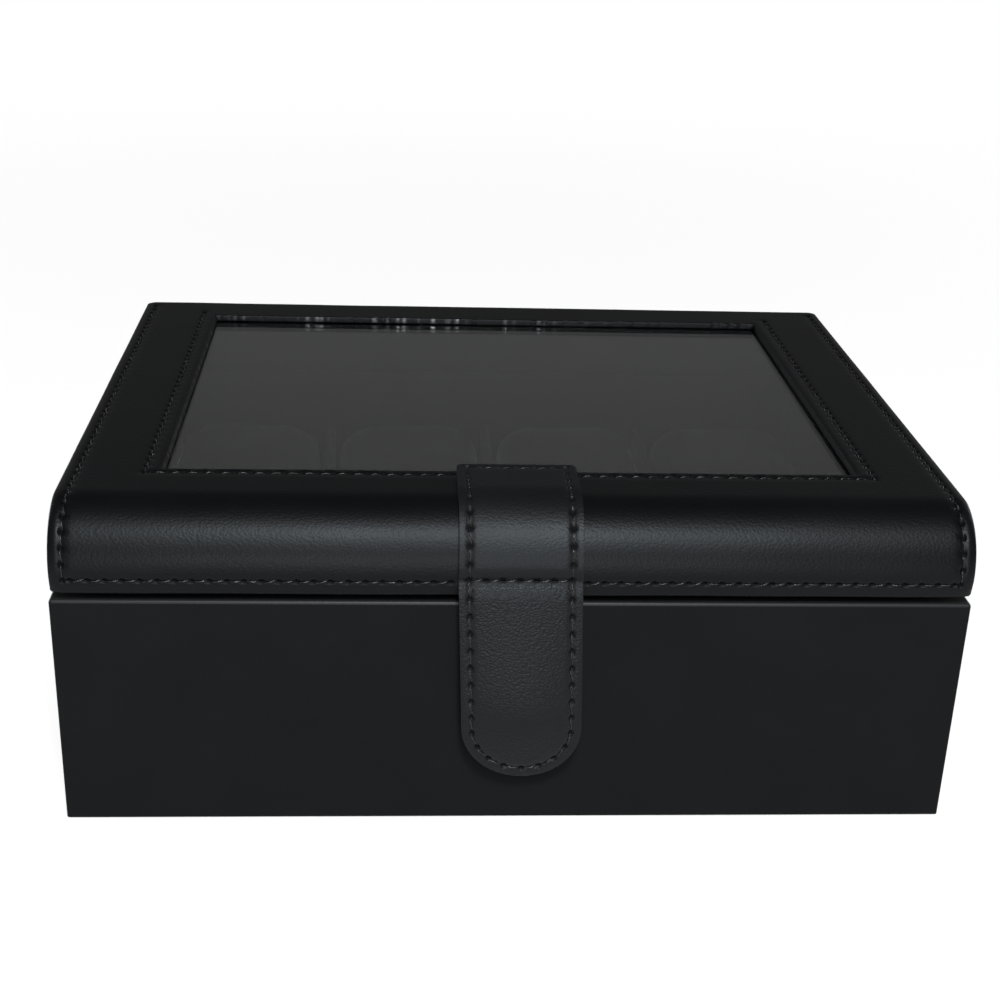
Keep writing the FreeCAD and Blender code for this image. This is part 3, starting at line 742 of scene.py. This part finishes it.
# Lid lining: four cards covered in black velvet, glued inside the rails, and a velvet ceiling frame.
# The frame is glued under the top board and holds the glass up in its rebate.
LID_LINING_EDGE = 0.5 * MM
CEILING_EDGE = 0.4 * MM
for side in ("front", "back", "left", "right"):
    softened(f"lid_lining_{side}", LID_LINING_EDGE, 2, velvet, "lid")
softened("lid_ceiling_frame", CEILING_EDGE, 2, velvet, "lid")


# Window: one sheet of clear glass, laid in the top board's rebate and held from below by the ceiling frame.
# Faint smears from wiping vary its polish.
GLASS_TINT = (0.93, 0.95, 0.95, 1)
SMEARS_PER_METRE = 30.0
SMEAR_ROUGHNESS = 0.03


def clear_glass():
    """Smooth glass with faint smears."""
    material, shader, place = new_finish(
        "clear_glass", Transmission_Weight=1.0, IOR=1.5, Base_Color=GLASS_TINT
    )
    smears = place.noise(SMEARS_PER_METRE, 4.0)
    place.tree.links.new((SMEAR_ROUGHNESS * smears).socket, shader.inputs["Roughness"])
    return material


dress(clear_glass(), "window_glass")


# Strap: two leather layers sewn together all round, fixed over the roll and hanging free below the lid's
# seam. The free end is round, padded between the layers, and bends where the lid's front row sews it down.
strap_leather = grained_leather(
    "strap_leather",
    colour=(0.0038, 0.004, 0.0046),
    roughness=0.4,
    shine=0.172,
    grain=(0.72 * MM, 0.6 * MM, 0.52 * MM),
    relief=0.11 * MM,
)
STRAP_LAYER = 1.1 * MM
STRAP_BEDDED = 0.1 * MM
STRAP_ROW_INSET = 2.65 * MM
STRAP_END_INSET = 2.0 * MM
STRAP_PITCH = 4.6 * MM
STRAP_EDGE = 0.5 * MM
STRAP_EDGE_SEGMENTS = 3
STRAP_EDGE_TURN = math.radians(60)
STRAP_CORNER = 1.5 * MM
SEAM_RISE = 1.2 * MM
SEAM_PINCH = 0.9 * MM
SEAM_REACH = 2.4 * MM
TAB_PADDING = 4.2 * MM
TAB_FULLEST = 0.66
TAB_TIGHTNESS = 4
TAB_SIDE_THIN = 0.5
TAB_LEAN = 0.036
STRAP_STEP = 0.4 * MM
BACKING_STEP = 1.0 * MM
strap_low, strap_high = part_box("strap_upper")
tab_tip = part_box("tab_outer_leather")[0].z
tab_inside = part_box("tab_inner_leather")[1].y
strap_x = (strap_low.x + strap_high.x) / 2
strap_half = (strap_high.x - strap_low.x) / 2
strap_rise = roll_z - tab_tip
strap_flat = strap_high.y - roll_y
seam_height = lid_low.z + FRONT_ROW_HEIGHT
seam_at = seam_height - tab_tip
row_radius = strap_half - STRAP_ROW_INSET


def strap_path(layer):
    """The path up the tab's middle and over the roll, for the outer face of a layer from the top one down."""
    radius = roll_y - strap_low.y - layer * STRAP_LAYER
    return walk((roll_y - radius, tab_tip), QUARTER, [
        (strap_rise, 0),
        (QUARTER * radius, -QUARTER),
        (strap_flat, 0),
    ]), strap_rise + QUARTER * radius + strap_flat


def strap_rows(x, s, length):
    """The distance off and along each sewn row of the strap, with the row's pitch."""
    if s < strap_half:
        edge = strap_half - math.hypot(x, strap_half - s)
        along = row_radius * math.atan2(abs(x), strap_half - s)
    else:
        edge = strap_half - abs(x)
        along = row_radius * QUARTER + s - strap_half
    passing = [(s - seam_at - SEAM_RISE, x + strap_x, STITCH_PITCH)]
    if s < length - STRAP_END_INSET + VALLEY_WIDTH:
        passing.append((edge - STRAP_ROW_INSET, along, STRAP_PITCH))
    if abs(x) < row_radius + VALLEY_WIDTH:
        passing.append((length - s - STRAP_END_INSET, x, STRAP_PITCH))
    return passing


def tab_swell(share):
    """How full the tab's padding is: a long rise from the seam and a short fall to the tip."""
    rise = share / TAB_FULLEST
    fall = (1 - share) / (1 - TAB_FULLEST)
    return rise * fall / (rise ** TAB_TIGHTNESS + fall ** TAB_TIGHTNESS) ** (1 / TAB_TIGHTNESS)


def strap_skin(x, s, layer=0):
    """A point on a strap layer, by its distance from the strap's middle and from its round tip."""
    path, length = strap_path(layer)
    (y, z), (out_y, out_z) = path(s)
    lift = -SEAM_PINCH * bell(s - seam_at - SEAM_RISE, SEAM_REACH)
    lean = 0
    if layer == 0:
        lift -= max(sewn(*row) for row in strap_rows(x, s, length))
    if s < seam_at:
        hang = seam_at - s
        crown = 1 - TAB_SIDE_THIN * (x / strap_half) ** 2
        lift += TAB_PADDING * crown * tab_swell(hang / seam_at)
        lean = TAB_LEAN * hang
    return Vector((strap_x + lean + x, y + lift * out_y, z + lift * out_z)), Vector((0, out_y, out_z))


def strap_sheet(layer, step):
    """One layer of the strap as a sheet, half round at its lower end and with rounded upper corners."""
    length = strap_path(layer)[1]
    columns = stations([(-1, 0), (1, step / strap_half)])
    rows = stations([(0, 0), (strap_half, step), (length, step)])
    shape, across_strap, along_strap = grid_of(columns, rows)
    painted_shade = shape.verts.layers.float.new("needle_hole")
    stretched = shape.verts.layers.float.new("stretched")
    for v in shape.verts:
        x = v[across_strap]
        s = v[along_strap]
        past_corner = max(0, s - length + STRAP_CORNER)
        half = strap_half - STRAP_CORNER + math.sqrt(max(0, STRAP_CORNER ** 2 - past_corner ** 2))
        if s < strap_half:
            low = 1 - s / strap_half
            s = strap_half * (1 - low * math.sqrt(1 - x * x / 2))
            x = x * math.sqrt(1 - low * low / 2)
        v[across_strap] = x * half
        v[along_strap] = s
        v[stretched] = s > seam_at
        v.co, _ = strap_skin(x * half, s, layer)
        if layer == 0:
            # Painted shade: the strap's colour is darkened in the needle holes.
            v[painted_shade] = max(needle_hole(*row) for row in strap_rows(x * half, s, length))
    return shape, across_strap, along_strap


def round_edges(piece):
    """Round over a strap layer's cut edges."""
    edge = piece.modifiers.new("edge", "BEVEL")
    edge.width = STRAP_EDGE
    edge.segments = STRAP_EDGE_SEGMENTS
    edge.limit_method = "ANGLE"
    edge.angle_limit = STRAP_EDGE_TURN


def bend_at_seam(piece):
    """Bake a piece's placement into its mesh."""
    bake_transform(piece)


outer_sheet, _, _ = strap_sheet(0, STRAP_STEP)
strap_piece = add_piece(outer_sheet, "strap", strap_leather, None, SKIN_SMOOTH)
strap_piece.modifiers.new("thickness", "SOLIDIFY").thickness = STRAP_LAYER
round_edges(strap_piece)
bend_at_seam(strap_piece)
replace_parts(strap_piece, "strap_upper", "tab_outer_leather")

backing_sheet, across_strap, along_strap = strap_sheet(1, BACKING_STEP)
inner_face = bmesh.ops.extrude_face_region(backing_sheet, geom=backing_sheet.faces[:])["geom"]
for v in [g for g in inner_face if isinstance(g, bmesh.types.BMVert)]:
    point, out = strap_skin(v[across_strap], v[along_strap], 1)
    on_lid = v[along_strap] > seam_at
    depth = STRAP_LAYER + STRAP_BEDDED if on_lid else tab_inside - point.y
    depth -= SEAM_PINCH * bell(v[along_strap] - seam_at - SEAM_RISE, SEAM_REACH) * on_lid
    v.co = point - out * depth
bmesh.ops.recalc_face_normals(backing_sheet, faces=backing_sheet.faces)
backing = add_piece(backing_sheet, "strap_backing", strap_leather, None, SKIN_SMOOTH)
round_edges(backing)
bend_at_seam(backing)
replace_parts(backing, "tab_inner_leather")


# Stitching: black twisted polyester thread, one lock stitch at a time, sunk at both ends in its holes.
# The rows run along the lid's front and ends, on three sides of the window and round the strap.
THREAD_DARK = (0.0028, 0.0028, 0.003)
THREAD_PAINTED_GLINT = (0.028, 0.028, 0.029)
THREAD_SHINE = 0.4
THREAD_DULL = 0.34
THREAD_RELIEF = 0.12 * MM
TWISTS_PER_METRE = 2600.0
GLINT_START = 0.56
GLINT_FULL = 0.7
GLINT_POLISH = 0.12
THREAD_RADIUS = 0.24 * MM
STITCH_SHARE = 0.84
STITCH_CROWN = 0.12 * MM
STITCH_DIP = 0.7 * MM
STITCH_SLANT = math.radians(7)
STITCH_WANDER = 2.0
STITCH_END_THIN = 0.5
PLY_FLATTEN = 0.6
PLY_TWIST = math.radians(55)
STITCH_RINGS = 8
STITCH_SIDES = 6
STRAP_CLEAR = 1.0 * MM


def sewing_thread():
    """Black thread with pale specks painted into its colour as glints, where it is also smoother."""
    material, shader, place = new_finish("black_thread", Specular_IOR_Level=THREAD_SHINE)
    twist = place.noise(TWISTS_PER_METRE, 1.0)
    painted_glint_range = {"Value": twist, "From Min": GLINT_START, "From Max": GLINT_FULL}
    painted_glint = place.node("ShaderNodeMapRange", {}, painted_glint_range, 0)
    # Painted highlight: the colour turns pale where the twist noise peaks.
    tone = blend_colours(painted_glint, THREAD_DARK, THREAD_PAINTED_GLINT)
    set_finish(shader, place, tone, THREAD_DULL - GLINT_POLISH * painted_glint, twist, THREAD_RELIEF)
    return material


def stitch_mesh(pitch):
    """One stitch along X: rings of a two-ply thread, turned step by step and dipping at both ends."""
    shape = bmesh.new()
    length = STITCH_SHARE * pitch
    edges = []
    for i in range(STITCH_RINGS):
        share = i / (STITCH_RINGS - 1)
        arch = math.sqrt(math.sin(math.pi * share))
        size = THREAD_RADIUS * (1 - STITCH_END_THIN + STITCH_END_THIN * arch)
        height = STITCH_CROWN - STITCH_DIP * (1 - arch)
        place = Matrix.Translation((length * (share - 0.5), 0, height))
        turn = Matrix.Rotation(QUARTER, 4, "Y") @ Matrix.Rotation(PLY_TWIST * i, 4, "Z")
        flat = Matrix.Diagonal((size, size * PLY_FLATTEN, 1, 1))
        ring = bmesh.ops.create_circle(
            shape, segments=STITCH_SIDES, radius=1, matrix=place @ turn @ flat
        )["verts"]
        edges.append({e for v in ring for e in v.link_edges})
    for first, second in zip(edges, edges[1:]):
        bmesh.ops.bridge_loops(shape, edges=list(first | second))
    bmesh.ops.holes_fill(shape, edges=shape.edges, sides=STITCH_SIDES)
    bmesh.ops.recalc_face_normals(shape, faces=shape.faces)
    mesh = bpy.data.meshes.new("stitch")
    shape.to_mesh(mesh)
    shape.free()
    return mesh


thread = sewing_thread()
lid_stitch = stitch_mesh(STITCH_PITCH)
strap_stitch = stitch_mesh(STRAP_PITCH)


def sew(shape, stitch, point, ahead, out):
    """Set one stitch at a point of a skin, along its row and slightly slanted."""
    start = len(shape.verts)
    shape.from_mesh(stitch)
    shape.verts.ensure_lookup_table()
    aside = out.cross(ahead)
    turn = Matrix((ahead, aside, out)).transposed().to_4x4()
    wander = STITCH_WANDER * noise.noise(point / STITCH_PITCH)
    slant = Matrix.Rotation(STITCH_SLANT * (1 + wander), 4, "Z")
    place = Matrix.Translation(point) @ turn @ slant
    bmesh.ops.transform(shape, matrix=place, verts=shape.verts[start:])


def sew_row(shape, stitch, skin, start, end, pitch):
    """Sew a straight row on a skin; start and end are places across and along it, whole pitches apart."""
    start = Vector(start)
    run = Vector(end) - start
    count = round(run.length / pitch)
    for i in range(count):
        here = start + run * (i + 0.5) / count
        before, _ = skin(*(here - run.normalized() * NEAR))
        after, _ = skin(*(here + run.normalized() * NEAR))
        point, out = skin(*here)
        sew(shape, stitch, point, (after - before).normalized(), out)


def whole(distance, pitch):
    """The most whole stitches that fit in a distance."""
    return math.floor(distance / pitch) * pitch


lid_thread = bmesh.new()
row_end_x = whole(end_row, STITCH_PITCH)
row_end_s = front_row + whole(end_row_stop - front_row, STITCH_PITCH)
window_end_x = whole(row_side, STITCH_PITCH)
window_end_s = row_front + whole(row_back - row_front, STITCH_PITCH)
left_of_strap = whole(strap_low.x - STRAP_CLEAR, STITCH_PITCH)
right_of_strap = -whole(-strap_high.x - STRAP_CLEAR, STITCH_PITCH)
lid_rows_sewn = [
    ((-row_end_x, front_row), (left_of_strap, front_row)),
    ((right_of_strap, front_row), (row_end_x, front_row)),
    ((-window_end_x, row_front), (left_of_strap, row_front)),
    ((right_of_strap, row_front), (window_end_x, row_front)),
]
for side in (-1, 1):
    lid_rows_sewn.append(((side * end_row, front_row), (side * end_row, row_end_s)))
    lid_rows_sewn.append(((side * row_side, row_front), (side * row_side, window_end_s)))
for first, last in lid_rows_sewn:
    sew_row(lid_thread, lid_stitch, lid_skin, first, last, STITCH_PITCH)
add_piece(lid_thread, "lid_stitches", thread, "lid", SKIN_SMOOTH)

strap_thread = bmesh.new()
strap_length = strap_path(0)[1]
round_row = row_radius * QUARTER
side_row = whole(round_row + strap_length - STRAP_END_INSET - strap_half, STRAP_PITCH)


def along_side(side, distance):
    """The place on the strap at a distance from the tip along its sewn row, on the side -1 or 1."""
    if distance < round_row:
        angle = distance / row_radius
        return strap_skin(side * row_radius * math.sin(angle), strap_half - row_radius * math.cos(angle))
    return strap_skin(side * row_radius, strap_half + distance - round_row)


for side in (-1, 1):
    sew_row(strap_thread, strap_stitch, along_side, (side, 0), (side, side_row), STRAP_PITCH)
top_row = strap_length - STRAP_END_INSET
half_row = whole(row_radius, STRAP_PITCH)
sew_row(strap_thread, strap_stitch, strap_skin, (-half_row, top_row), (half_row, top_row), STRAP_PITCH)


def on_seam(x, s):
    """The place on the strap under the lid's front row."""
    return strap_skin(x - strap_x, s)


seam_first = left_of_strap + STITCH_PITCH
seam_last = right_of_strap - STITCH_PITCH
strap_seam = seam_at + SEAM_RISE
sew_row(strap_thread, lid_stitch, on_seam, (seam_first, strap_seam), (seam_last, strap_seam), STITCH_PITCH)
strap_stitches = add_piece(strap_thread, "strap_stitches", thread, None, SKIN_SMOOTH)
bend_at_seam(strap_stitches)


# Watch pillows: eight foam cushions in black velvet, loose in their places, each with a seam near both ends.
# One is blown up as cloth and the rest are copies, each dented a little in its own way.
PILLOWS = 8
VOXEL = 4 * MM
SHRINK = 0.94
PRESSURE = 4.0
SWELL_FRAMES = 20
SEAM_INSET = 7 * MM
PILLOW_SEAM = 0.9 * MM
PILLOW_SEAM_WIDTH = 1.6 * MM
DENT = 0.7 * MM
DENT_LENGTH = 18 * MM
DENT_MIDDLE = 0.5
DENT_SHIFT = 3
ROUND_ALL_OVER = 180
pillow_velvet = nap("pillow_velvet", VELVET_BLACK, sheen=0.06, fibre=0.3 * MM, depth=0.15 * MM)
pillow_low, pillow_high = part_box("watch_pillow_1")
pillow_size = pillow_high - pillow_low
pillow_middle = (pillow_low + pillow_high) / 2


def evaluated_mesh(piece):
    """A new mesh of a piece with its modifiers applied."""
    graph = bpy.context.evaluated_depsgraph_get()
    return bpy.data.meshes.new_from_object(piece.evaluated_get(graph))


def blown_pillow():
    """The first pillow's shape about its middle, swollen by cloth under pressure, fitted to its solid."""
    shape = bmesh.new()
    shape.from_mesh(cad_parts["watch_pillow_1"].data)
    bmesh.ops.remove_doubles(shape, verts=shape.verts, dist=MERGE)
    bmesh.ops.translate(shape, vec=-pillow_middle, verts=shape.verts)
    bmesh.ops.scale(shape, vec=(SHRINK,) * 3, verts=shape.verts)
    mesh = bpy.data.meshes.new("pillow_form")
    shape.to_mesh(mesh)
    shape.free()
    form = bpy.data.objects.new("pillow_form", mesh)
    bpy.context.scene.collection.objects.link(form)
    voxels = form.modifiers.new("voxels", "REMESH")
    voxels.mode = "VOXEL"
    voxels.voxel_size = VOXEL
    form.data = evaluated_mesh(form)
    form.modifiers.clear()
    cloth = form.modifiers.new("cloth", "CLOTH")
    cloth.settings.use_pressure = True
    cloth.settings.uniform_pressure_force = PRESSURE
    cloth.settings.effector_weights.gravity = 0
    cloth.point_cache.frame_end = SWELL_FRAMES
    for step in range(1, SWELL_FRAMES + 1):
        bpy.context.scene.frame_set(step)
    form.data = evaluated_mesh(form)
    form.modifiers.clear()
    bpy.context.scene.frame_set(1)
    swollen = bmesh.new()
    swollen.from_mesh(form.data)
    bpy.data.objects.remove(form)
    reach = Vector([max(abs(v.co[i]) for v in swollen.verts) for i in range(3)])
    fit = [pillow_size[i] / 2 / reach[i] for i in range(3)]
    bmesh.ops.scale(swollen, vec=fit, verts=swollen.verts)
    return swollen


def draw_in(v, distance):
    """Move a vertex towards the pillow's long middle line."""
    toward = Vector((0, v.co.y, v.co.z))
    v.co -= toward.normalized() * distance


pillow_form = blown_pillow()
for v in pillow_form.verts:
    off_seam = pillow_size.x / 2 - SEAM_INSET - abs(v.co.x)
    draw_in(v, PILLOW_SEAM * bell(off_seam, PILLOW_SEAM_WIDTH))
pillow_mesh = bpy.data.meshes.new("pillow")
pillow_form.to_mesh(pillow_mesh)
pillow_form.free()
for number in range(1, PILLOWS + 1):
    low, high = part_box(f"watch_pillow_{number}")
    pillow = bmesh.new()
    pillow.from_mesh(pillow_mesh)
    for v in pillow.verts:
        dent = noise.noise(v.co / DENT_LENGTH + Vector((DENT_SHIFT * number, 0, 0)))
        draw_in(v, DENT * (DENT_MIDDLE + dent))
    bmesh.ops.translate(pillow, vec=(low + high) / 2, verts=pillow.verts)
    body = f"pillow_{number}"
    piece = add_piece(pillow, f"{body}_velvet", pillow_velvet, body, ROUND_ALL_OVER)
    fine = piece.modifiers.new("fine", "SUBSURF")
    fine.levels = 1
    fine.render_levels = 1
    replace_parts(piece, f"watch_pillow_{number}")


# Hinges: two dark nickel butt hinges on the back, each with two leaves, a pin and four countersunk screws.
# The screws have crossed slots, and the lid's leaf has a lug that stops it.
nickel = plated("dark_nickel", colour=(0.3, 0.3, 0.31), roughness=0.3)
for side in ("left", "right"):
    dress(nickel, *[f"hinge_{side}_{part}" for part in ("base_leaf", "lid_leaf", "pin")])

SCREW_SIDES = 24
SLOT_HALF = 0.3 * MM
SLOT_REACH = 1.3 * MM
SLOT_DEPTH = 0.5 * MM
HEAD_DEPTH = 1.2 * MM
HEAD_EDGE = 0.12 * MM
SHANK_SHARE = 0.5
SCREW_SMOOTH = 30
FIRST_TURN = 0.5
NEXT_TURN = 1.1


def slotted_screw(radius):
    """A countersunk head about Z with a cross cut in it."""
    shape = bmesh.new()
    bmesh.ops.create_circle(shape, cap_ends=True, segments=SCREW_SIDES, radius=radius)
    for across_slot in ((1, 0, 0), (0, 1, 0)):
        for place in (-SLOT_HALF, SLOT_HALF, -SLOT_REACH, SLOT_REACH):
            bmesh.ops.bisect_plane(
                shape,
                geom=shape.verts[:] + shape.edges[:] + shape.faces[:],
                plane_co=Vector(across_slot) * place,
                plane_no=across_slot,
            )
    slot = [
        f for f in shape.faces
        if max(abs(v) for v in f.calc_center_median()) < SLOT_REACH
        and min(abs(v) for v in f.calc_center_median()[:2]) < SLOT_HALF
    ]
    dug = bmesh.ops.extrude_face_region(shape, geom=slot)["geom"]
    bmesh.ops.delete(shape, geom=slot, context="FACES_ONLY")
    bmesh.ops.translate(
        shape, vec=(0, 0, -SLOT_DEPTH), verts=[g for g in dug if isinstance(g, bmesh.types.BMVert)]
    )
    rim = [e for e in shape.edges if e.is_boundary]
    cone = bmesh.ops.extrude_edge_only(shape, edges=rim)["geom"]
    low = [g for g in cone if isinstance(g, bmesh.types.BMVert)]
    bmesh.ops.translate(shape, vec=(0, 0, -HEAD_DEPTH), verts=low)
    bmesh.ops.scale(shape, vec=(SHANK_SHARE, SHANK_SHARE, 1), verts=low)
    bmesh.ops.holes_fill(shape, edges=shape.edges, sides=0)
    bmesh.ops.recalc_face_normals(shape, faces=shape.faces)
    mesh = bpy.data.meshes.new("screw")
    shape.to_mesh(mesh)
    shape.free()
    return mesh


for body in ("base", "lid"):
    low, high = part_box(f"{body}_hinge_screws")
    head_radius = (high.z - low.z) / 2
    screw = slotted_screw(head_radius - HEAD_EDGE)
    group = bmesh.new()
    for side in ("left", "right"):
        leaf_low, leaf_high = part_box(f"hinge_{side}_{body}_leaf")
        hinge_x = (leaf_low.x + leaf_high.x) / 2
        reach = high.x - head_radius - abs(hinge_x)
        for number, x in enumerate((hinge_x - reach, hinge_x + reach)):
            start = len(group.verts)
            group.from_mesh(screw)
            group.verts.ensure_lookup_table()
            place = Matrix.Translation((x, high.y, (low.z + high.z) / 2))
            driven = Matrix.Rotation(FIRST_TURN + NEXT_TURN * number + hinge_x, 4, "Z")
            upright = Matrix.Rotation(-QUARTER, 4, "X")
            bmesh.ops.transform(group, matrix=place @ upright @ driven, verts=group.verts[start:])
    piece = add_piece(group, f"{body}_screws", nickel, body, SCREW_SMOOTH)
    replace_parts(piece, f"{body}_hinge_screws")


# Stage: a pale floor that fades into a white ground, and a grey room above it, of which diffuse light sees
# only a plain level. A large soft light, a small key above it and a low fill stand in front, and two wings
# behind light the sides and back. The camera looks down from a little left of the middle.
ROOM_STOPS = [(0.46, 1.0), (0.5, 0.15), (0.7, 0.15), (0.8, 0.03)]
ROOM_LIGHT = 0.15
FLOOR_RADIUS = 1.2
FLOOR_SIDES = 96
FLOOR_WHITE = (0.95, 0.95, 0.95, 1)
FLOOR_SHARE = 0.19
FADE_START = 0.3
FADE_END = 1.1
LIT_PLACE = Vector((0, -0.05, 0.06))
CAMERA_PLACE = Vector((-0.03098, -0.45788, 0.24305))
CAMERA_YAW = math.radians(-4.05)
CAMERA_PITCH = math.radians(-24.268)
CAMERA_ROLL = math.radians(-2.051)
scene = bpy.context.scene
scene.view_settings.view_transform = "Standard"
world = bpy.data.worlds.new("room")
scene.world = world
world.use_nodes = True
room = Shade(world.node_tree)
direction = room.node("ShaderNodeTexCoord", {}, {}, "Generated")
height = room.node("ShaderNodeSeparateXYZ", {}, {0: direction}, 2)
level = 0.5 + 0.5 * height
grey = room.node("ShaderNodeValToRGB", {"stops": ROOM_STOPS}, {0: level}, 0)
rays = [
    room.node("ShaderNodeLightPath", {}, {}, f"Is {kind} Ray")
    for kind in ("Camera", "Glossy", "Transmission")
]
seen = room.math("MINIMUM", rays[0] + rays[1] + rays[2], 1)
backdrop = seen * grey + (1 - seen) * ROOM_LIGHT
world.node_tree.links.new(backdrop.socket, world.node_tree.nodes["Background"].inputs["Color"])

ground = bmesh.new()
bmesh.ops.create_circle(ground, cap_ends=True, segments=FLOOR_SIDES, radius=FLOOR_RADIUS)
ground_mesh = bpy.data.meshes.new("floor")
ground.to_mesh(ground_mesh)
ground.free()
floor = bpy.data.objects.new("floor", ground_mesh)
scene.collection.objects.link(floor)
floor_finish, floor_shader, floor_place = new_finish(
    "pale_floor", Base_Color=FLOOR_WHITE, Specular_IOR_Level=0.0, Roughness=1.0
)
from_middle = floor_place.node("ShaderNodeVectorMath", {"operation": "LENGTH"}, {0: floor_place}, "Value")
fade = floor_place.node(
    "ShaderNodeMapRange",
    {"interpolation_type": "SMOOTHSTEP"},
    {
        "Value": from_middle,
        "From Min": FADE_START,
        "From Max": FADE_END,
        "To Min": FLOOR_SHARE,
        "To Max": 0.0,
    },
)
floor_finish.node_tree.links.new(fade.socket, floor_shader.inputs["Alpha"])
ground_mesh.materials.append(floor_finish)


def soft_light(name, place, width, height, watts):
    """A rectangular soft light that faces the box."""
    light = bpy.data.lights.new(name, "AREA")
    light.shape = "RECTANGLE"
    light.size = width
    light.size_y = height
    light.energy = watts
    lamp = bpy.data.objects.new(name, light)
    scene.collection.objects.link(lamp)
    facing = (LIT_PLACE - Vector(place)).to_track_quat("-Z", "Y")
    lamp.matrix_world = Matrix.LocRotScale(place, facing, None)


soft_light("softbox", place=(0.05, -0.95, 1.0), width=0.42, height=1.0, watts=13.4)
soft_light("key", place=(0.05, -0.9, 1.2), width=0.2, height=0.2, watts=13.4)
soft_light("fill", place=(0.0, -1.1, 0.13), width=0.4, height=0.2, watts=4.0)
soft_light("left_wing", place=(-1.0, 0.55, 0.2), width=0.4, height=0.4, watts=6.0)
soft_light("right_wing", place=(1.0, 0.55, 0.2), width=0.4, height=0.4, watts=6.0)

camera_data = bpy.data.cameras.new("camera")
camera_data.sensor_width = 36
camera_data.lens = 59.456
camera_data.shift_y = 0.05
camera = bpy.data.objects.new("camera", camera_data)
scene.collection.objects.link(camera)
turn = (
    Matrix.Rotation(CAMERA_YAW, 4, "Z")
    @ Matrix.Rotation(CAMERA_PITCH, 4, "X")
    @ Matrix.Rotation(CAMERA_ROLL, 4, "Y")
    @ Matrix.Rotation(QUARTER, 4, "X")
)
camera.matrix_world = Matrix.Translation(CAMERA_PLACE) @ turn
scene.camera = camera
